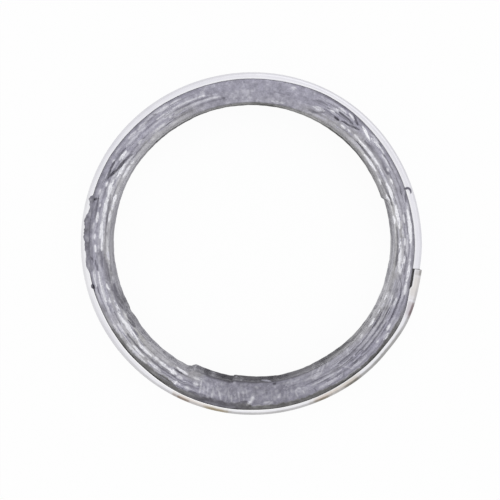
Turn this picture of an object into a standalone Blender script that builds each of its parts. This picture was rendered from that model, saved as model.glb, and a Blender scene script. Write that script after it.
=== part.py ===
"""Flat round exhaust gasket: a pressed ring wound from a strip of knitted steel wire filled with graphite,
held together by a thin rolled stainless band whose edges are turned in over both of its faces.

Units are metres and degrees. The ring lies flat, centred on the Z axis, with its lower face at z = 0. Angles
run anticlockwise from +X, seen from above.
"""

import bmesh
import bpy
import numpy as np

# Wound ring: the strip
BORE_RADIUS = 0.0180
RING_HEIGHT = 0.0053
STRIP_THICKNESS = 0.00056
WHOLE_TURNS = 5
INNER_END_DEG = 243.0
OUTER_END_DEG = 19.0
TAIL_TAPER_DEG = 60.0
TAIL_SETTLE_DEG = 30.0

# Wound ring: the crease between one turn and the next
CREASE_DEPTH = 0.00016
CREASE_HALF_WIDTH = 0.00012

# Wound ring: where the first turn is pressed thin and breaks off in a step
HOLLOW_DEPTH = 0.00026
HOLLOW_START_DEG = 328.0
HOLLOW_STEP_DEG = 17.6
HOLLOW_STEP_LENGTH_DEG = 0.9

# Wound ring: the slope down to the band and the seat under the band's lip
SHOULDER_WIDTH = 0.0007
SHOULDER_DROP = 0.00032
SEAT_WIDTH = 0.00058

# The outline is a little out of round beside the band's joint
BULGE_HEIGHT = 0.00022
BULGE_DEG = 322.0
BULGE_HALF_WIDTH_DEG = 35.0
FLAT_DEPTH = 0.00022
FLAT_DEG = 8.0
FLAT_HALF_WIDTH_DEG = 36.0

# Outer band
BAND_THICKNESS = 0.00025
BAND_CLEARANCE = 0.00005
BAND_BEND_RADIUS = 0.00042
LIP_SINK = 0.00025
BAND_JOINT_DEG = 351.0
BAND_JOINT_GAP_DEG = 0.5
TONGUE_LENGTH_DEG = 16.0
LAP_RAMP_DEG = 15.0
OPEN_LIP_LENGTH_DEG = 9.0
OPEN_LIP_GAP = 0.00022

# Facets
COLUMN_STEP_DEG = 3.4
BEND_SEGMENTS = 3
SHARP_EDGE_DEG = 25.0


def smooth_step(x):
    """0 below 0, 1 above 1, and 3x^2 - 2x^3 between."""
    x = np.clip(x, 0.0, 1.0)
    return x * x * (3.0 - 2.0 * x)


def hump(angle, centre, half_width):
    """1 at the centre angle, falling as a squared cosine to 0 at the half width on either side."""
    away = np.abs((angle - centre + 180.0) % 360.0 - 180.0)
    return np.cos(0.5 * np.pi * np.clip(away / half_width, 0.0, 1.0)) ** 2


def at(angle, radius, height):
    """Points in space for arrays of angle in degrees, radius and height."""
    turn = np.radians(angle)
    return np.stack(np.broadcast_arrays(radius * np.cos(turn), radius * np.sin(turn), height), axis=-1)


def columns(breaks, step):
    """Angles that hold every break, each span between two breaks being split evenly in steps of up to step."""
    spans = [
        np.linspace(start, end, int(np.ceil((end - start) / step - 1e-9)), endpoint=False)
        for start, end in zip(breaks[:-1], breaks[1:])
    ]
    return np.concatenate(spans)


def outline_shift(angle):
    """How far the ring's outline stands out from its true circle."""
    bulge = BULGE_HEIGHT * hump(angle, BULGE_DEG, BULGE_HALF_WIDTH_DEG)
    flat = FLAT_DEPTH * hump(angle, FLAT_DEG, FLAT_HALF_WIDTH_DEG)
    return bulge - flat


def winding_radius(angle):
    """Outer radius of the wound turns, where they meet the lip of the band."""
    return BORE_RADIUS + (WHOLE_TURNS + 1) * STRIP_THICKNESS + outline_shift(angle)


def seat_radius(angle):
    """Outer radius of the ring's waist, inside the band."""
    return winding_radius(angle) + SEAT_WIDTH


def tail_share(past_start):
    """Share of its full thickness that the last turn takes up, at some degrees past the inner end."""
    before_end = (OUTER_END_DEG - INNER_END_DEG) % 360.0 - past_start
    return smooth_step((before_end + TAIL_SETTLE_DEG) / (TAIL_TAPER_DEG + TAIL_SETTLE_DEG))


def hollow(past_start):
    """Depth pressed into the bore face of the first turn: it deepens evenly and breaks off in a step."""
    start = (HOLLOW_START_DEG - INNER_END_DEG) % 360.0
    step = (HOLLOW_STEP_DEG - INNER_END_DEG) % 360.0
    grown = smooth_step((past_start - start) / (step - start))
    broken_off = np.clip((past_start - step) / HOLLOW_STEP_LENGTH_DEG, 0.0, 1.0)
    return HOLLOW_DEPTH * grown * (1.0 - broken_off)


def strip_point(turn, past_start, across):
    """Radius and drop below the face of a point on the strip's edge.

    turn counts whole turns from the inner end, past_start is degrees past the inner end in that turn, and
    across runs from 0 on the strip's inner side to 1 on its outer side. The turns share the room between the
    bore and the winding radius evenly, and the last one takes only its tail share.
    """
    angle = INNER_END_DEG + past_start
    share = tail_share(past_start)
    bore = BORE_RADIUS + STRIP_THICKNESS * past_start / 360.0
    thickness = (winding_radius(angle) - bore) / (WHOLE_TURNS + share)
    own_share = np.where(turn == WHOLE_TURNS, share, 1.0)
    radius = bore + thickness * (turn + own_share * across)
    radius = radius + np.where(turn == 0, hollow(past_start) * (1.0 - across), 0.0)
    to_shoulder = radius - (winding_radius(angle) - SHOULDER_WIDTH)
    drop = SHOULDER_DROP * smooth_step(to_shoulder / SHOULDER_WIDTH)
    return angle, radius, drop


def add_mesh(name, points, faces, material):
    """An object with outward faces, smooth where its facets meet at a shallow angle."""
    mesh = bpy.data.meshes.new(name)
    mesh.from_pydata(points.tolist(), [], faces)
    made = bmesh.new()
    made.from_mesh(mesh)
    bmesh.ops.recalc_face_normals(made, faces=made.faces)
    made.to_mesh(mesh)
    made.free()
    mesh.shade_smooth()
    mesh.set_sharp_from_angle(angle=np.radians(SHARP_EDGE_DEG))
    mesh.materials.append(material)
    made_object = bpy.data.objects.new(name, mesh)
    bpy.context.scene.collection.objects.link(made_object)
    return made_object


def steel(name, colour, roughness, metallic):
    """A Principled material of one plain colour."""
    material = bpy.data.materials.new(name)
    material.use_nodes = True
    shader = material.node_tree.nodes["Principled BSDF"]
    shader.inputs["Base Color"].default_value = (*colour, 1.0)
    shader.inputs["Roughness"].default_value = roughness
    shader.inputs["Metallic"].default_value = metallic
    return material


def joined(rows, closed):
    """Quads between each row of point numbers and the next, or triangles where two corners are one point."""
    faces = []
    for upper, lower in zip(rows[:-1], rows[1:]):
        pairs = list(zip(upper, lower))
        following = pairs[1:] + pairs[:1] if closed else pairs[1:]
        for (a, b), (d, c) in zip(pairs, following):
            corners = list(dict.fromkeys((a, b, c, d)))
            if len(corners) > 2:
                faces.append(corners)
    return faces


def ribbon_columns():
    """Degrees past the inner end of one turn's columns, and the number of the strip's last column."""
    outer_end = (OUTER_END_DEG - INNER_END_DEG) % 360.0
    step = (HOLLOW_STEP_DEG - INNER_END_DEG) % 360.0
    breaks = sorted({0.0, step, step + HOLLOW_STEP_LENGTH_DEG, outer_end, 360.0})
    one_turn = columns(breaks, COLUMN_STEP_DEG)
    last = WHOLE_TURNS * len(one_turn) + int(np.searchsorted(one_turn, outer_end - 1e-6))
    return one_turn, last


def strip_face(one_turn, last):
    """The strip's upper edge as one long ribbon along the spiral.

    Returns its points, its rows of point numbers, one row a column, and the numbers of its outermost edge. A
    column's outer side is the inner side of the column one turn later, so neighbouring turns share a crease.
    """
    number = np.arange(last + 1)
    turn = number // len(one_turn)
    past_start = one_turn[number % len(one_turn)]
    crease = CREASE_HALF_WIDTH / STRIP_THICKNESS
    across = np.array([0.0, crease, 1.0 - crease])
    angle, radius, drop = strip_point(turn[:, None], past_start[:, None], across)
    drop = drop + np.where(across == 0.0, CREASE_DEPTH, 0.0)
    turns = at(angle, radius, RING_HEIGHT - drop)

    outermost = number[last - len(one_turn) + 1 :]
    angle, radius, drop = strip_point(turn[outermost], past_start[outermost], 1.0)
    edge = at(angle, radius, RING_HEIGHT - drop)

    rows = np.arange(turns.size // 3).reshape(-1, len(across))
    edge_ids = rows.size + np.arange(len(edge))
    outer_side = np.concatenate([rows[len(one_turn) :, 0], edge_ids])
    points = np.concatenate([turns.reshape(-1, 3), edge])
    return points, np.column_stack([rows, outer_side]), edge_ids


def seat_and_waist(rim_angle):
    """The side under the band: the height of the upper seat, and the rings of points of the seats and waist."""
    seat = RING_HEIGHT - LIP_SINK - BAND_THICKNESS - BAND_CLEARANCE
    corner = BAND_BEND_RADIUS - BAND_THICKNESS
    upper = [(corner, seat), (0.0, seat - corner)]
    lower = [(inwards, RING_HEIGHT - height) for inwards, height in reversed(upper)]
    waist = seat_radius(rim_angle)
    return seat, [at(rim_angle, waist - inwards, height) for inwards, height in upper + lower]


def wound_ring():
    """The wound strip as one closed solid: two spiral faces, the bore, and the side that the band grips."""
    one_turn, last = ribbon_columns()
    per_turn = len(one_turn)
    upper, ribbon, edge_ids = strip_face(one_turn, last)
    lower = upper * (1.0, 1.0, -1.0) + (0.0, 0.0, RING_HEIGHT)
    face = joined(ribbon.T.tolist(), closed=False)
    strip_end = ribbon[:, -2:0:-1]
    bore_loop = np.concatenate([ribbon[: per_turn + 1, 0], strip_end[0]])
    rim_loop = np.concatenate([ribbon[last, :1], edge_ids, strip_end[last]])

    on_edge = one_turn[np.arange(last - per_turn, last) % per_turn]
    seat, rings = seat_and_waist(INNER_END_DEG + on_edge)
    foot = upper[rim_loop]
    foot_top = foot * (1.0, 1.0, 0.0) + (0.0, 0.0, seat)
    foot_bottom = foot * (1.0, 1.0, 0.0) + (0.0, 0.0, RING_HEIGHT - seat)

    blocks = [upper, lower, foot_top, *rings, foot_bottom]
    starts = np.cumsum([0] + [len(block) for block in blocks[:-1]])
    along_rim = np.arange(len(rim_loop))
    on_ring = np.where(along_rim < per_turn, along_rim, 0)
    sides = [rim_loop, starts[2] + along_rim]
    sides += [start + on_ring for start in starts[3:-1]]
    sides += [starts[-1] + along_rim, starts[1] + rim_loop]

    faces = face + [[starts[1] + v for v in reversed(corners)] for corners in face]
    faces += joined([bore_loop.tolist(), (starts[1] + bore_loop).tolist()], closed=True)
    faces += joined([side.tolist() for side in sides], closed=True)
    material = steel("pressed_wire_and_graphite", (0.30, 0.30, 0.34), 0.5, 0.7)
    return add_mesh("wound_ring", np.concatenate(blocks), faces, material)


def band_radius(angle):
    """Outer radius of the band: it lies on the ring's waist, and climbs over the tongue of its other end."""
    on_ring = seat_radius(angle) + BAND_CLEARANCE + BAND_THICKNESS
    tongue_tip = BAND_JOINT_DEG - TONGUE_LENGTH_DEG
    climbed = smooth_step((angle - (tongue_tip - LAP_RAMP_DEG)) / LAP_RAMP_DEG)
    return on_ring + climbed * (BAND_THICKNESS + BAND_CLEARANCE)


def lip_radius(angle):
    """Inner radius of the lips: they close on the winding, and stand open at the band's free end."""
    opened = smooth_step((angle - (BAND_JOINT_DEG - OPEN_LIP_LENGTH_DEG)) / OPEN_LIP_LENGTH_DEG)
    return winding_radius(angle) + BAND_CLEARANCE + opened * OPEN_LIP_GAP


def band_side(offset):
    """One side of the C-shaped section, from the upper lip's edge to the lower one's.

    offset is 0 for the outer side and the sheet's thickness for the inner one. Returns the distances inwards
    from the band's outer radius, with nan at the lips' edges, and the heights.
    """
    top = RING_HEIGHT - LIP_SINK
    bend = np.linspace(0.5 * np.pi, 0.0, BEND_SEGMENTS + 1)
    inwards = BAND_BEND_RADIUS - (BAND_BEND_RADIUS - offset) * np.cos(bend)
    height = top - BAND_BEND_RADIUS + (BAND_BEND_RADIUS - offset) * np.sin(bend)
    inwards = np.concatenate([[np.nan], inwards])
    height = np.concatenate([[top - offset], height])
    return (
        np.concatenate([inwards, inwards[::-1]]),
        np.concatenate([height, RING_HEIGHT - height[::-1]]),
    )


def outer_band():
    """The rolled strip with both edges turned in, and a flat tongue at one end, under the other, free end."""
    root = BAND_JOINT_DEG - 360.0 + BAND_JOINT_GAP_DEG
    angle = np.append(columns([root, BAND_JOINT_DEG], COLUMN_STEP_DEG), BAND_JOINT_DEG)
    sides = []
    for offset in (0.0, BAND_THICKNESS):
        inwards, height = band_side(offset)
        radius = band_radius(angle)[:, None] - inwards
        radius = np.where(np.isnan(radius), lip_radius(angle)[:, None], radius)
        sides.append(at(angle[:, None], radius, height))
    per_side = sides[0].shape[1]
    section = np.concatenate([sides[0], sides[1][:, ::-1]], axis=1)
    around = section.shape[1]
    ids = np.arange(section.shape[0] * around).reshape(-1, around)
    faces = joined(np.column_stack([ids, ids[:, :1]]).T.tolist(), closed=False)

    wall = per_side // 2 - 1
    cut_ends = [(ids[0], j) for j in range(per_side - 1) if j != wall]
    cut_ends += [(ids[-1], j) for j in range(per_side - 1)]
    faces += [[end[j], end[j + 1], end[around - 2 - j], end[around - 1 - j]] for end, j in cut_ends]

    tongue_tip = root - TONGUE_LENGTH_DEG
    tongue_angle = np.linspace(root, tongue_tip, int(np.ceil(TONGUE_LENGTH_DEG / COLUMN_STEP_DEG)) + 1)[1:]
    corners = [wall, wall + 1, around - 2 - wall, around - 1 - wall]
    heights = section[0, corners, 2]
    tongue_radius = seat_radius(tongue_angle)[:, None] + BAND_CLEARANCE
    outwards = np.array([BAND_THICKNESS, BAND_THICKNESS, 0.0, 0.0])
    tongue = at(tongue_angle[:, None], tongue_radius + outwards, heights)
    tongue_ids = ids.size + np.arange(tongue.shape[0] * 4).reshape(-1, 4)
    rows = np.concatenate([[ids[0, corners]], tongue_ids])
    faces += joined(rows.tolist(), closed=True)
    faces.append(tongue_ids[-1].tolist())

    points = np.concatenate([section.reshape(-1, 3), tongue.reshape(-1, 3)])
    material = steel("rolled_stainless", (0.80, 0.80, 0.83), 0.25, 1.0)
    return add_mesh("outer_band", points, faces, material)


def main():
    for old in list(bpy.data.objects):
        bpy.data.objects.remove(old, do_unlink=True)
    wound_ring()
    outer_band()


main()
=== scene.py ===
# %% [markdown]
# # A flat round exhaust gasket
#
# The real gasket is a strip of knitted steel wire filled with graphite, wound five times round and pressed
# flat between two dies. A thin stainless band, rolled into a C, holds it together. This lesson dresses the
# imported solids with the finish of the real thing: flattened bright wires, dark graphite between them, ragged
# folds, and a rim of rolled sheet. Every surface is a grid of points worked out with numpy.

import bpy
import mathutils
import numpy as np
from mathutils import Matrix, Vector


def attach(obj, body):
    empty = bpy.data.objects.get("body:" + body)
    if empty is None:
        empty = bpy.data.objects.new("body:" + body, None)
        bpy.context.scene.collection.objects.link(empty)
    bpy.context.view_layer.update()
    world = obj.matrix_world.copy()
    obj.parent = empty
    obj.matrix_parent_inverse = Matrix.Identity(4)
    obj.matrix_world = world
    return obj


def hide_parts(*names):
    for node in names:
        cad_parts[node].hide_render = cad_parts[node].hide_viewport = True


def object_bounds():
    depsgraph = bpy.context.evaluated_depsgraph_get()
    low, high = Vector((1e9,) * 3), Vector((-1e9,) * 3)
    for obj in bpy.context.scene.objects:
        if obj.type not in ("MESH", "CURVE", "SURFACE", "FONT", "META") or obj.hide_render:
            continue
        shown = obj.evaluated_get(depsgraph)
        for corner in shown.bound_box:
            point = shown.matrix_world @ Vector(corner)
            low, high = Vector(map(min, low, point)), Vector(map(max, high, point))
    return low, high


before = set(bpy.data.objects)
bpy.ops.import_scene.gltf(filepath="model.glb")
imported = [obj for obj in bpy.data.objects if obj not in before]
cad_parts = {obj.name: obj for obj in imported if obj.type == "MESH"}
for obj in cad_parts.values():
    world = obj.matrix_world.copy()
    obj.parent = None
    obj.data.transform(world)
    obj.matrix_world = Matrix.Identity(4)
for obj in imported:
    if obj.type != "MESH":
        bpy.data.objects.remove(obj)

cad_low, cad_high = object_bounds()
RING_HEIGHT = cad_high.z
print("Packed box in mm:", [round(1000 * side, 2) for side in cad_high - cad_low])

# %% [markdown]
# ## Sizes that the solids share with their finish
#
# Lengths are in metres and angles in degrees, anticlockwise from +X seen from above. The values repeat the
# sizes that the solids were drawn from, so that each dressed piece lies where its solid lies. The height is
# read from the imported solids, because every level of the finish hangs on it.

# %% Sizes of the winding and the band
BORE_RADIUS = 0.0180
STRIP_THICKNESS = 0.00056
WHOLE_TURNS = 5
INNER_END_DEG = 243.0
OUTER_END_DEG = 19.0
TAIL_TAPER_DEG = 60.0
TAIL_SETTLE_DEG = 30.0
HOLLOW_DEPTH = 0.00026
SEAT_WIDTH = 0.00058
WINDING_RADIUS = BORE_RADIUS + (WHOLE_TURNS + 1) * STRIP_THICKNESS

BAND_THICKNESS = 0.00025
BAND_CLEARANCE = 0.00005
BAND_BEND_RADIUS = 0.00042
INNER_BEND_RADIUS = BAND_BEND_RADIUS - BAND_THICKNESS
LIP_SINK = 0.00025
LIP_TOP = RING_HEIGHT - LIP_SINK
BAND_JOINT_DEG = 351.0
BAND_JOINT_GAP_DEG = 0.5
FREE_END_DEG = BAND_JOINT_DEG + BAND_JOINT_GAP_DEG
TONGUE_LENGTH_DEG = 16.0
LAP_RAMP_DEG = 15.0

MM = 0.001
print("Winding, bore to outside in mm:", round(BORE_RADIUS / MM, 2), "to", round(WINDING_RADIUS / MM, 2))

# %% [markdown]
# ## Small tools for arrays
#
# Everything below is built from a few ideas: a smooth step, a smooth hump or zone round an angle, and a
# smooth random field that closes round the ring. The field is a lattice of random numbers blended between
# its corners. A noise texture could give the colour alone, but here the relief, the colour and the wires
# have to follow one field, and a lattice that is drawn from a seed is the same on every run.

# %% Smooth steps, humps and zones
def smooth_step(x):
    """0 below 0, 1 above 1, and 3x^2 - 2x^3 between."""
    x = np.clip(x, 0.0, 1.0)
    return x * x * (3.0 - 2.0 * x)


def turned(angle, centre):
    """Angle from the centre to the angle, the short way round, between -180 and 180 degrees."""
    return (angle - centre + 180.0) % 360.0 - 180.0


def hump(angle, centre, half_width):
    """1 at the centre angle, falling as a squared cosine to 0 at the half width on either side."""
    away = np.abs(turned(angle, centre)) / half_width
    return np.cos(0.5 * np.pi * np.clip(away, 0.0, 1.0)) ** 2


def humps(angle, rows):
    """Sum of humps, each with its centre, its half width and its height, which may be negative."""
    return sum(height * hump(angle, centre, half_width) for centre, half_width, height in rows)


def zone(angle, start, full, fading, end):
    """0 up to the start angle, 1 from full to fading, 0 from the end angle on, and smooth steps between."""
    angle = angle % 360.0
    return smooth_step((angle - start) / (full - start)) * smooth_step((end - angle) / (end - fading))


def profile(angle, stations):
    """A value that runs round the ring through stations of angle and value, straight from one to the next."""
    angles, values = np.array(stations).T
    return np.interp(angle % 360.0, angles, values, period=360.0)


print("A hump halfway down its side:", round(hump(5.0, 0.0, 10.0), 2))

# %% Random fields and points in space
LATTICE_ROWS = 64


def grain(angle, across, cells_round, cell_across, seed):
    """A smooth random field between -1 and 1: random numbers on a lattice, blended by smooth steps.

    The lattice has cells_round cells round the ring and closes there; across it has cells of one length.
    Each field below ends with a seed of its own, so no two fields draw the same numbers.
    """
    lattice = np.random.default_rng(seed).uniform(-1.0, 1.0, (cells_round, LATTICE_ROWS))
    u = (angle / 360.0 % 1.0) * cells_round
    v = across / cell_across
    i = np.floor(u).astype(int)
    j = np.floor(v).astype(int)
    s = smooth_step(u - i)
    t = smooth_step(v - j)
    here, ahead = i % cells_round, (i + 1) % cells_round
    low, high = j % LATTICE_ROWS, (j + 1) % LATTICE_ROWS
    near = lattice[here, low] * (1 - t) + lattice[here, high] * t
    far = lattice[ahead, low] * (1 - t) + lattice[ahead, high] * t
    return near * (1 - s) + far * s


def at(angle, radius, height):
    """Points in space for arrays of angle in degrees, radius and height: (r cos a, r sin a, h)."""
    turn = np.radians(angle)
    return np.stack(np.broadcast_arrays(radius * np.cos(turn), radius * np.sin(turn), height), axis=-1)


def polar(points):
    """Angle in degrees and radius of points in space, seen along the axis of the ring."""
    x, y = points[..., 0], points[..., 1]
    return np.degrees(np.arctan2(y, x)), np.hypot(x, y)


def unit(vectors):
    """Vectors divided by their lengths."""
    return vectors / np.linalg.norm(vectors, axis=-1, keepdims=True)


def joined(parts, columns):
    """Rows of several parts of a section side by side, each spread over all the columns of the ring."""
    return np.concatenate([np.broadcast_to(part, (columns, np.shape(part)[-1])) for part in parts], axis=1)


print("A random field round the ring:", np.round(grain(np.arange(0.0, 360.0, 60.0), 0.0, 12, 1.0, 1), 2))

# %% [markdown]
# ## From an array to a mesh
#
# Blender fills a mesh fastest from flat arrays. Faces come as blocks of corner numbers, all with the same
# number of corners in one block. Normals could be recalculated by Blender, but the signed volume of a closed
# shape says the same more cheaply: it is positive when the faces point outwards, so a shape whose volume
# comes out negative has all its faces turned round.

# %% Which way faces point
def outward(points, blocks):
    """The face blocks, each turned round if the volume that they enclose is negative.

    The volume is the sum over the fan of triangles of each face of a . (b x c) / 6.
    """
    volume = 0.0
    for block in blocks:
        a = points[block[:, 0]]
        for k in range(1, block.shape[1] - 1):
            b, c = points[block[:, k]], points[block[:, k + 1]]
            volume += np.einsum("ij,ij->i", a, np.cross(b, c)).sum() / 6.0
    return [block[:, ::-1] for block in blocks] if volume < 0.0 else blocks


four_points = np.concatenate([np.zeros((1, 3)), np.eye(3)])
inward_faces = np.array([(0, 1, 2), (0, 2, 3), (0, 3, 1), (1, 3, 2)])
print("A face of a small pyramid, turned round:", outward(four_points, [inward_faces])[0][0])

# %% Filling a mesh
def fill_mesh(mesh, points, blocks):
    """Points and faces put into an empty mesh. Gives back the number of triangles that they make."""
    corners = np.concatenate([block.ravel() for block in blocks])
    sizes = np.concatenate([np.full(len(block), block.shape[1]) for block in blocks])
    starts = np.concatenate([[0], np.cumsum(sizes)[:-1]])
    mesh.vertices.add(len(points))
    mesh.vertices.foreach_set("co", points.astype(np.float32).ravel())
    mesh.loops.add(len(corners))
    mesh.loops.foreach_set("vertex_index", corners.astype(np.int32))
    mesh.polygons.add(len(sizes))
    mesh.polygons.foreach_set("loop_start", starts.astype(np.int32))
    mesh.update(calc_edges=True)
    return int((sizes - 2).sum())


def carry(mesh, mark, values):
    """One number or one colour for each point, kept in the mesh for the materials to read."""
    if values.size == len(mesh.vertices):
        kind, field, flat = "FLOAT", "value", values
    else:
        kind, field = "FLOAT_COLOR", "color"
        flat = np.concatenate([values.reshape(-1, 3), np.ones((len(mesh.vertices), 1))], axis=1)
    attribute = mesh.attributes.new(mark, kind, "POINT")
    attribute.data.foreach_set(field, flat.astype(np.float32).ravel())


# %% A piece of the gasket
def new_object(name, data):
    """An object that holds a mesh, a lamp or a camera, linked to the scene."""
    item = bpy.data.objects.new(name, data)
    bpy.context.scene.collection.objects.link(item)
    return item


def add_piece(name, points, blocks, material, corner_uv, marks):
    """A piece of the gasket made of points and blocks of faces.

    corner_uv holds, for each block of faces, the UV of their corners. marks holds the named arrays that the
    material reads: one number or one colour for each point.
    """
    points = points.reshape(-1, 3)
    mesh = bpy.data.meshes.new(name)
    outward_blocks = outward(points, blocks)
    if outward_blocks is not blocks:
        corner_uv = [block[:, ::-1] for block in corner_uv]
    triangles = fill_mesh(mesh, points, outward_blocks)
    flat_uv = np.concatenate([block.reshape(-1, 2) for block in corner_uv])
    mesh.uv_layers.new(name="UVMap").data.foreach_set("uv", flat_uv.astype(np.float32).ravel())
    for mark, values in marks.items():
        carry(mesh, mark, values)
    mesh.shade_smooth()
    mesh.materials.append(material)
    piece = new_object(name, mesh)
    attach(piece, "root")
    print(f"{name}: {len(points)} points, {triangles} triangles")
    return piece


# %% Faces of rings and strands
def cells(near, ahead, low, high):
    """Quads between two columns and two rows of points. A column goes by the number of its first point."""
    return np.stack([near + low, near + high, ahead + high, ahead + low], axis=-1).reshape(-1, 4)


def cell_uv(i, j, n, m):
    """UV of the four corners of each cell i, j of a grid of n columns by m rows."""
    u0, v0 = i / n, j / m
    u1, v1 = (i + 1) / n, (j + 1) / m
    corners = [np.stack(pair, axis=-1) for pair in ((u0, v0), (u0, v1), (u1, v1), (u1, v0))]
    return np.stack(corners, axis=-2).reshape(-1, 4, 2)


def ring_blocks(n, m):
    """Quads of a grid of n columns by m rows that closes both ways, and their UV corners."""
    i, j = np.meshgrid(np.arange(n), np.arange(m), indexing="ij")
    return [cells(i * m, (i + 1) % n * m, j, (j + 1) % m)], [cell_uv(i, j, n, m)]


def strand_blocks(count, n, m):
    """Quads and end caps of count separate tubes, each of n rings of m points, and their UV corners."""
    s, i, j = np.meshgrid(np.arange(count), np.arange(n - 1), np.arange(m), indexing="ij")
    quads = cells((s * n + i) * m, (s * n + i + 1) * m, j, (j + 1) % m)
    first_ring = np.arange(count)[:, None] * n * m + np.arange(m)
    caps = np.concatenate([first_ring[:, ::-1], first_ring + (n - 1) * m])
    return [quads, caps], [cell_uv(i, j, n, m), np.zeros((2 * count, m, 2))]


print("Quads of a ring of 6 by 4 points:", len(ring_blocks(6, 4)[0][0]))

# %% [markdown]
# ## The outline of the ring
#
# The bore follows the strip's inner turn: it grows by one strip thickness in a turn, breaks back in a step
# where the strip starts, at 243 degrees, and again near 18 degrees, where the first turn was pressed thin.
# The rim is a little out of round beside the band's joint. The outline could be read back from the solids,
# but the same few formulas are easier to follow, and the wires need them at every angle. The finish adds
# the raggedness of torn graphite, and it lets the face run out by up to a fifth of a millimetre more along
# the lower side, and a quarter near 334 degrees, where the real lip lies farther out.

# %% Outline of the bore
STRIP_END_LENGTH_DEG = 2.3
HOLLOW_START_DEG = 298.0
HOLLOW_FULL_DEG = 332.0
HOLLOW_STEP_DEG = 18.2
HOLLOW_STEP_LENGTH_DEG = 1.4
LEAF_REACH = 0.00020
LEAF_REACH_ZONE = (261.8, 262.3, 265.0, 285.0)
TEAR_DEPTH = 0.00009
TORN_STRETCH = (208.0, 16.0)
FRINGE = 0.00006
FRINGE_HUMPS = [(345.0, 40.0, 0.8), (247.0, 14.0, 1.0), (150.0, 26.0, -1.8), (272.0, 16.0, -0.8)]


def past_inner_end(angle):
    """Degrees past the strip's inner end, anticlockwise, from 0 up to 360."""
    return (angle - INNER_END_DEG) % 360.0


def spiral_bore(angle):
    """Radius of the strip's first turn: it grows by one strip thickness over a whole turn."""
    return BORE_RADIUS + STRIP_THICKNESS * past_inner_end(angle) / 360.0


def bore_radius(angle):
    """Radius of the bore: the spiral, the strip's slanted cut end, the thin pressed stretch, and tears."""
    past = past_inner_end(angle)
    start = past_inner_end(HOLLOW_START_DEG)
    full = past_inner_end(HOLLOW_FULL_DEG)
    step = past_inner_end(HOLLOW_STEP_DEG)
    cut_end = STRIP_THICKNESS * (1.0 - smooth_step(past / STRIP_END_LENGTH_DEG))
    hollow = HOLLOW_DEPTH * smooth_step((past - start) / (full - start))
    hollow = hollow * (1.0 - smooth_step((past - step) / HOLLOW_STEP_LENGTH_DEG))
    leaf = LEAF_REACH * zone(angle, *LEAF_REACH_ZONE)
    torn = TEAR_DEPTH * grain(angle, 0.0, 150, 1.0, 11) * hump(angle, *TORN_STRETCH)
    fringe = FRINGE * (1.0 + humps(angle, FRINGE_HUMPS))
    return spiral_bore(angle) + cut_end + hollow - leaf + torn - fringe


print("Bore radius in mm at 0, 90, 180, 270:", np.round(bore_radius(np.arange(0.0, 360.0, 90.0)) / MM, 2))

# %% Outline of the rim
OUTLINE_HUMPS_MM = [(318.0, 30.0, 0.18), (142.0, 44.0, 0.12), (14.0, 56.0, -0.30), (349.0, 13.0, -0.11)]
EDGE_HUMPS_MM = [
    (152.0, 28.0, 0.13), (60.0, 22.0, 0.14), (321.0, 20.0, 0.12), (334.0, 13.0, 0.27), (10.0, 40.0, -0.12),
]
EDGE_INSET = 0.00004
LOWER_SIDE_WIDER = 0.00019
LOWER_SIDE = (224.0, 248.0, 286.0, 312.0)
EDGE_UNEVEN = 0.00003
LIP_TOUCH = 0.00001
SLOT_WIDTH = 0.00028
SLOT_START_DEG = 344.2
SLOT_STEP_DEG = 1.5


def winding_radius(angle):
    """Outer radius of the wound turns: that of a true circle plus a few humps, a little out of round."""
    return WINDING_RADIUS + humps(angle, OUTLINE_HUMPS_MM) * MM


def seat_radius(angle):
    """Outer radius of the ring's waist, inside the band: the winding's plus the width of the seat."""
    return winding_radius(angle) + SEAT_WIDTH


def face_edge(angle):
    """Outer edge of the pressed face, where the lip closes on it: the winding's radius, made uneven."""
    wide = humps(angle, EDGE_HUMPS_MM) * MM - EDGE_INSET + LOWER_SIDE_WIDER * zone(angle, *LOWER_SIDE)
    return winding_radius(angle) + wide + EDGE_UNEVEN * grain(angle, 0.0, 44, 1.0, 12)


def lip_radius(angle):
    """Inner edge of the band's lips: the face's edge, and a slot wider by a smooth step at the free end."""
    unrolled = np.where(angle % 360.0 <= FREE_END_DEG, angle % 360.0, angle % 360.0 - 360.0)
    opened = smooth_step((unrolled - SLOT_START_DEG) / SLOT_STEP_DEG)
    return face_edge(angle) + LIP_TOUCH + opened * SLOT_WIDTH


print("Face edge in mm at 0, 90, 180, 270:", np.round(face_edge(np.arange(0.0, 360.0, 90.0)) / MM, 2))
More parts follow.
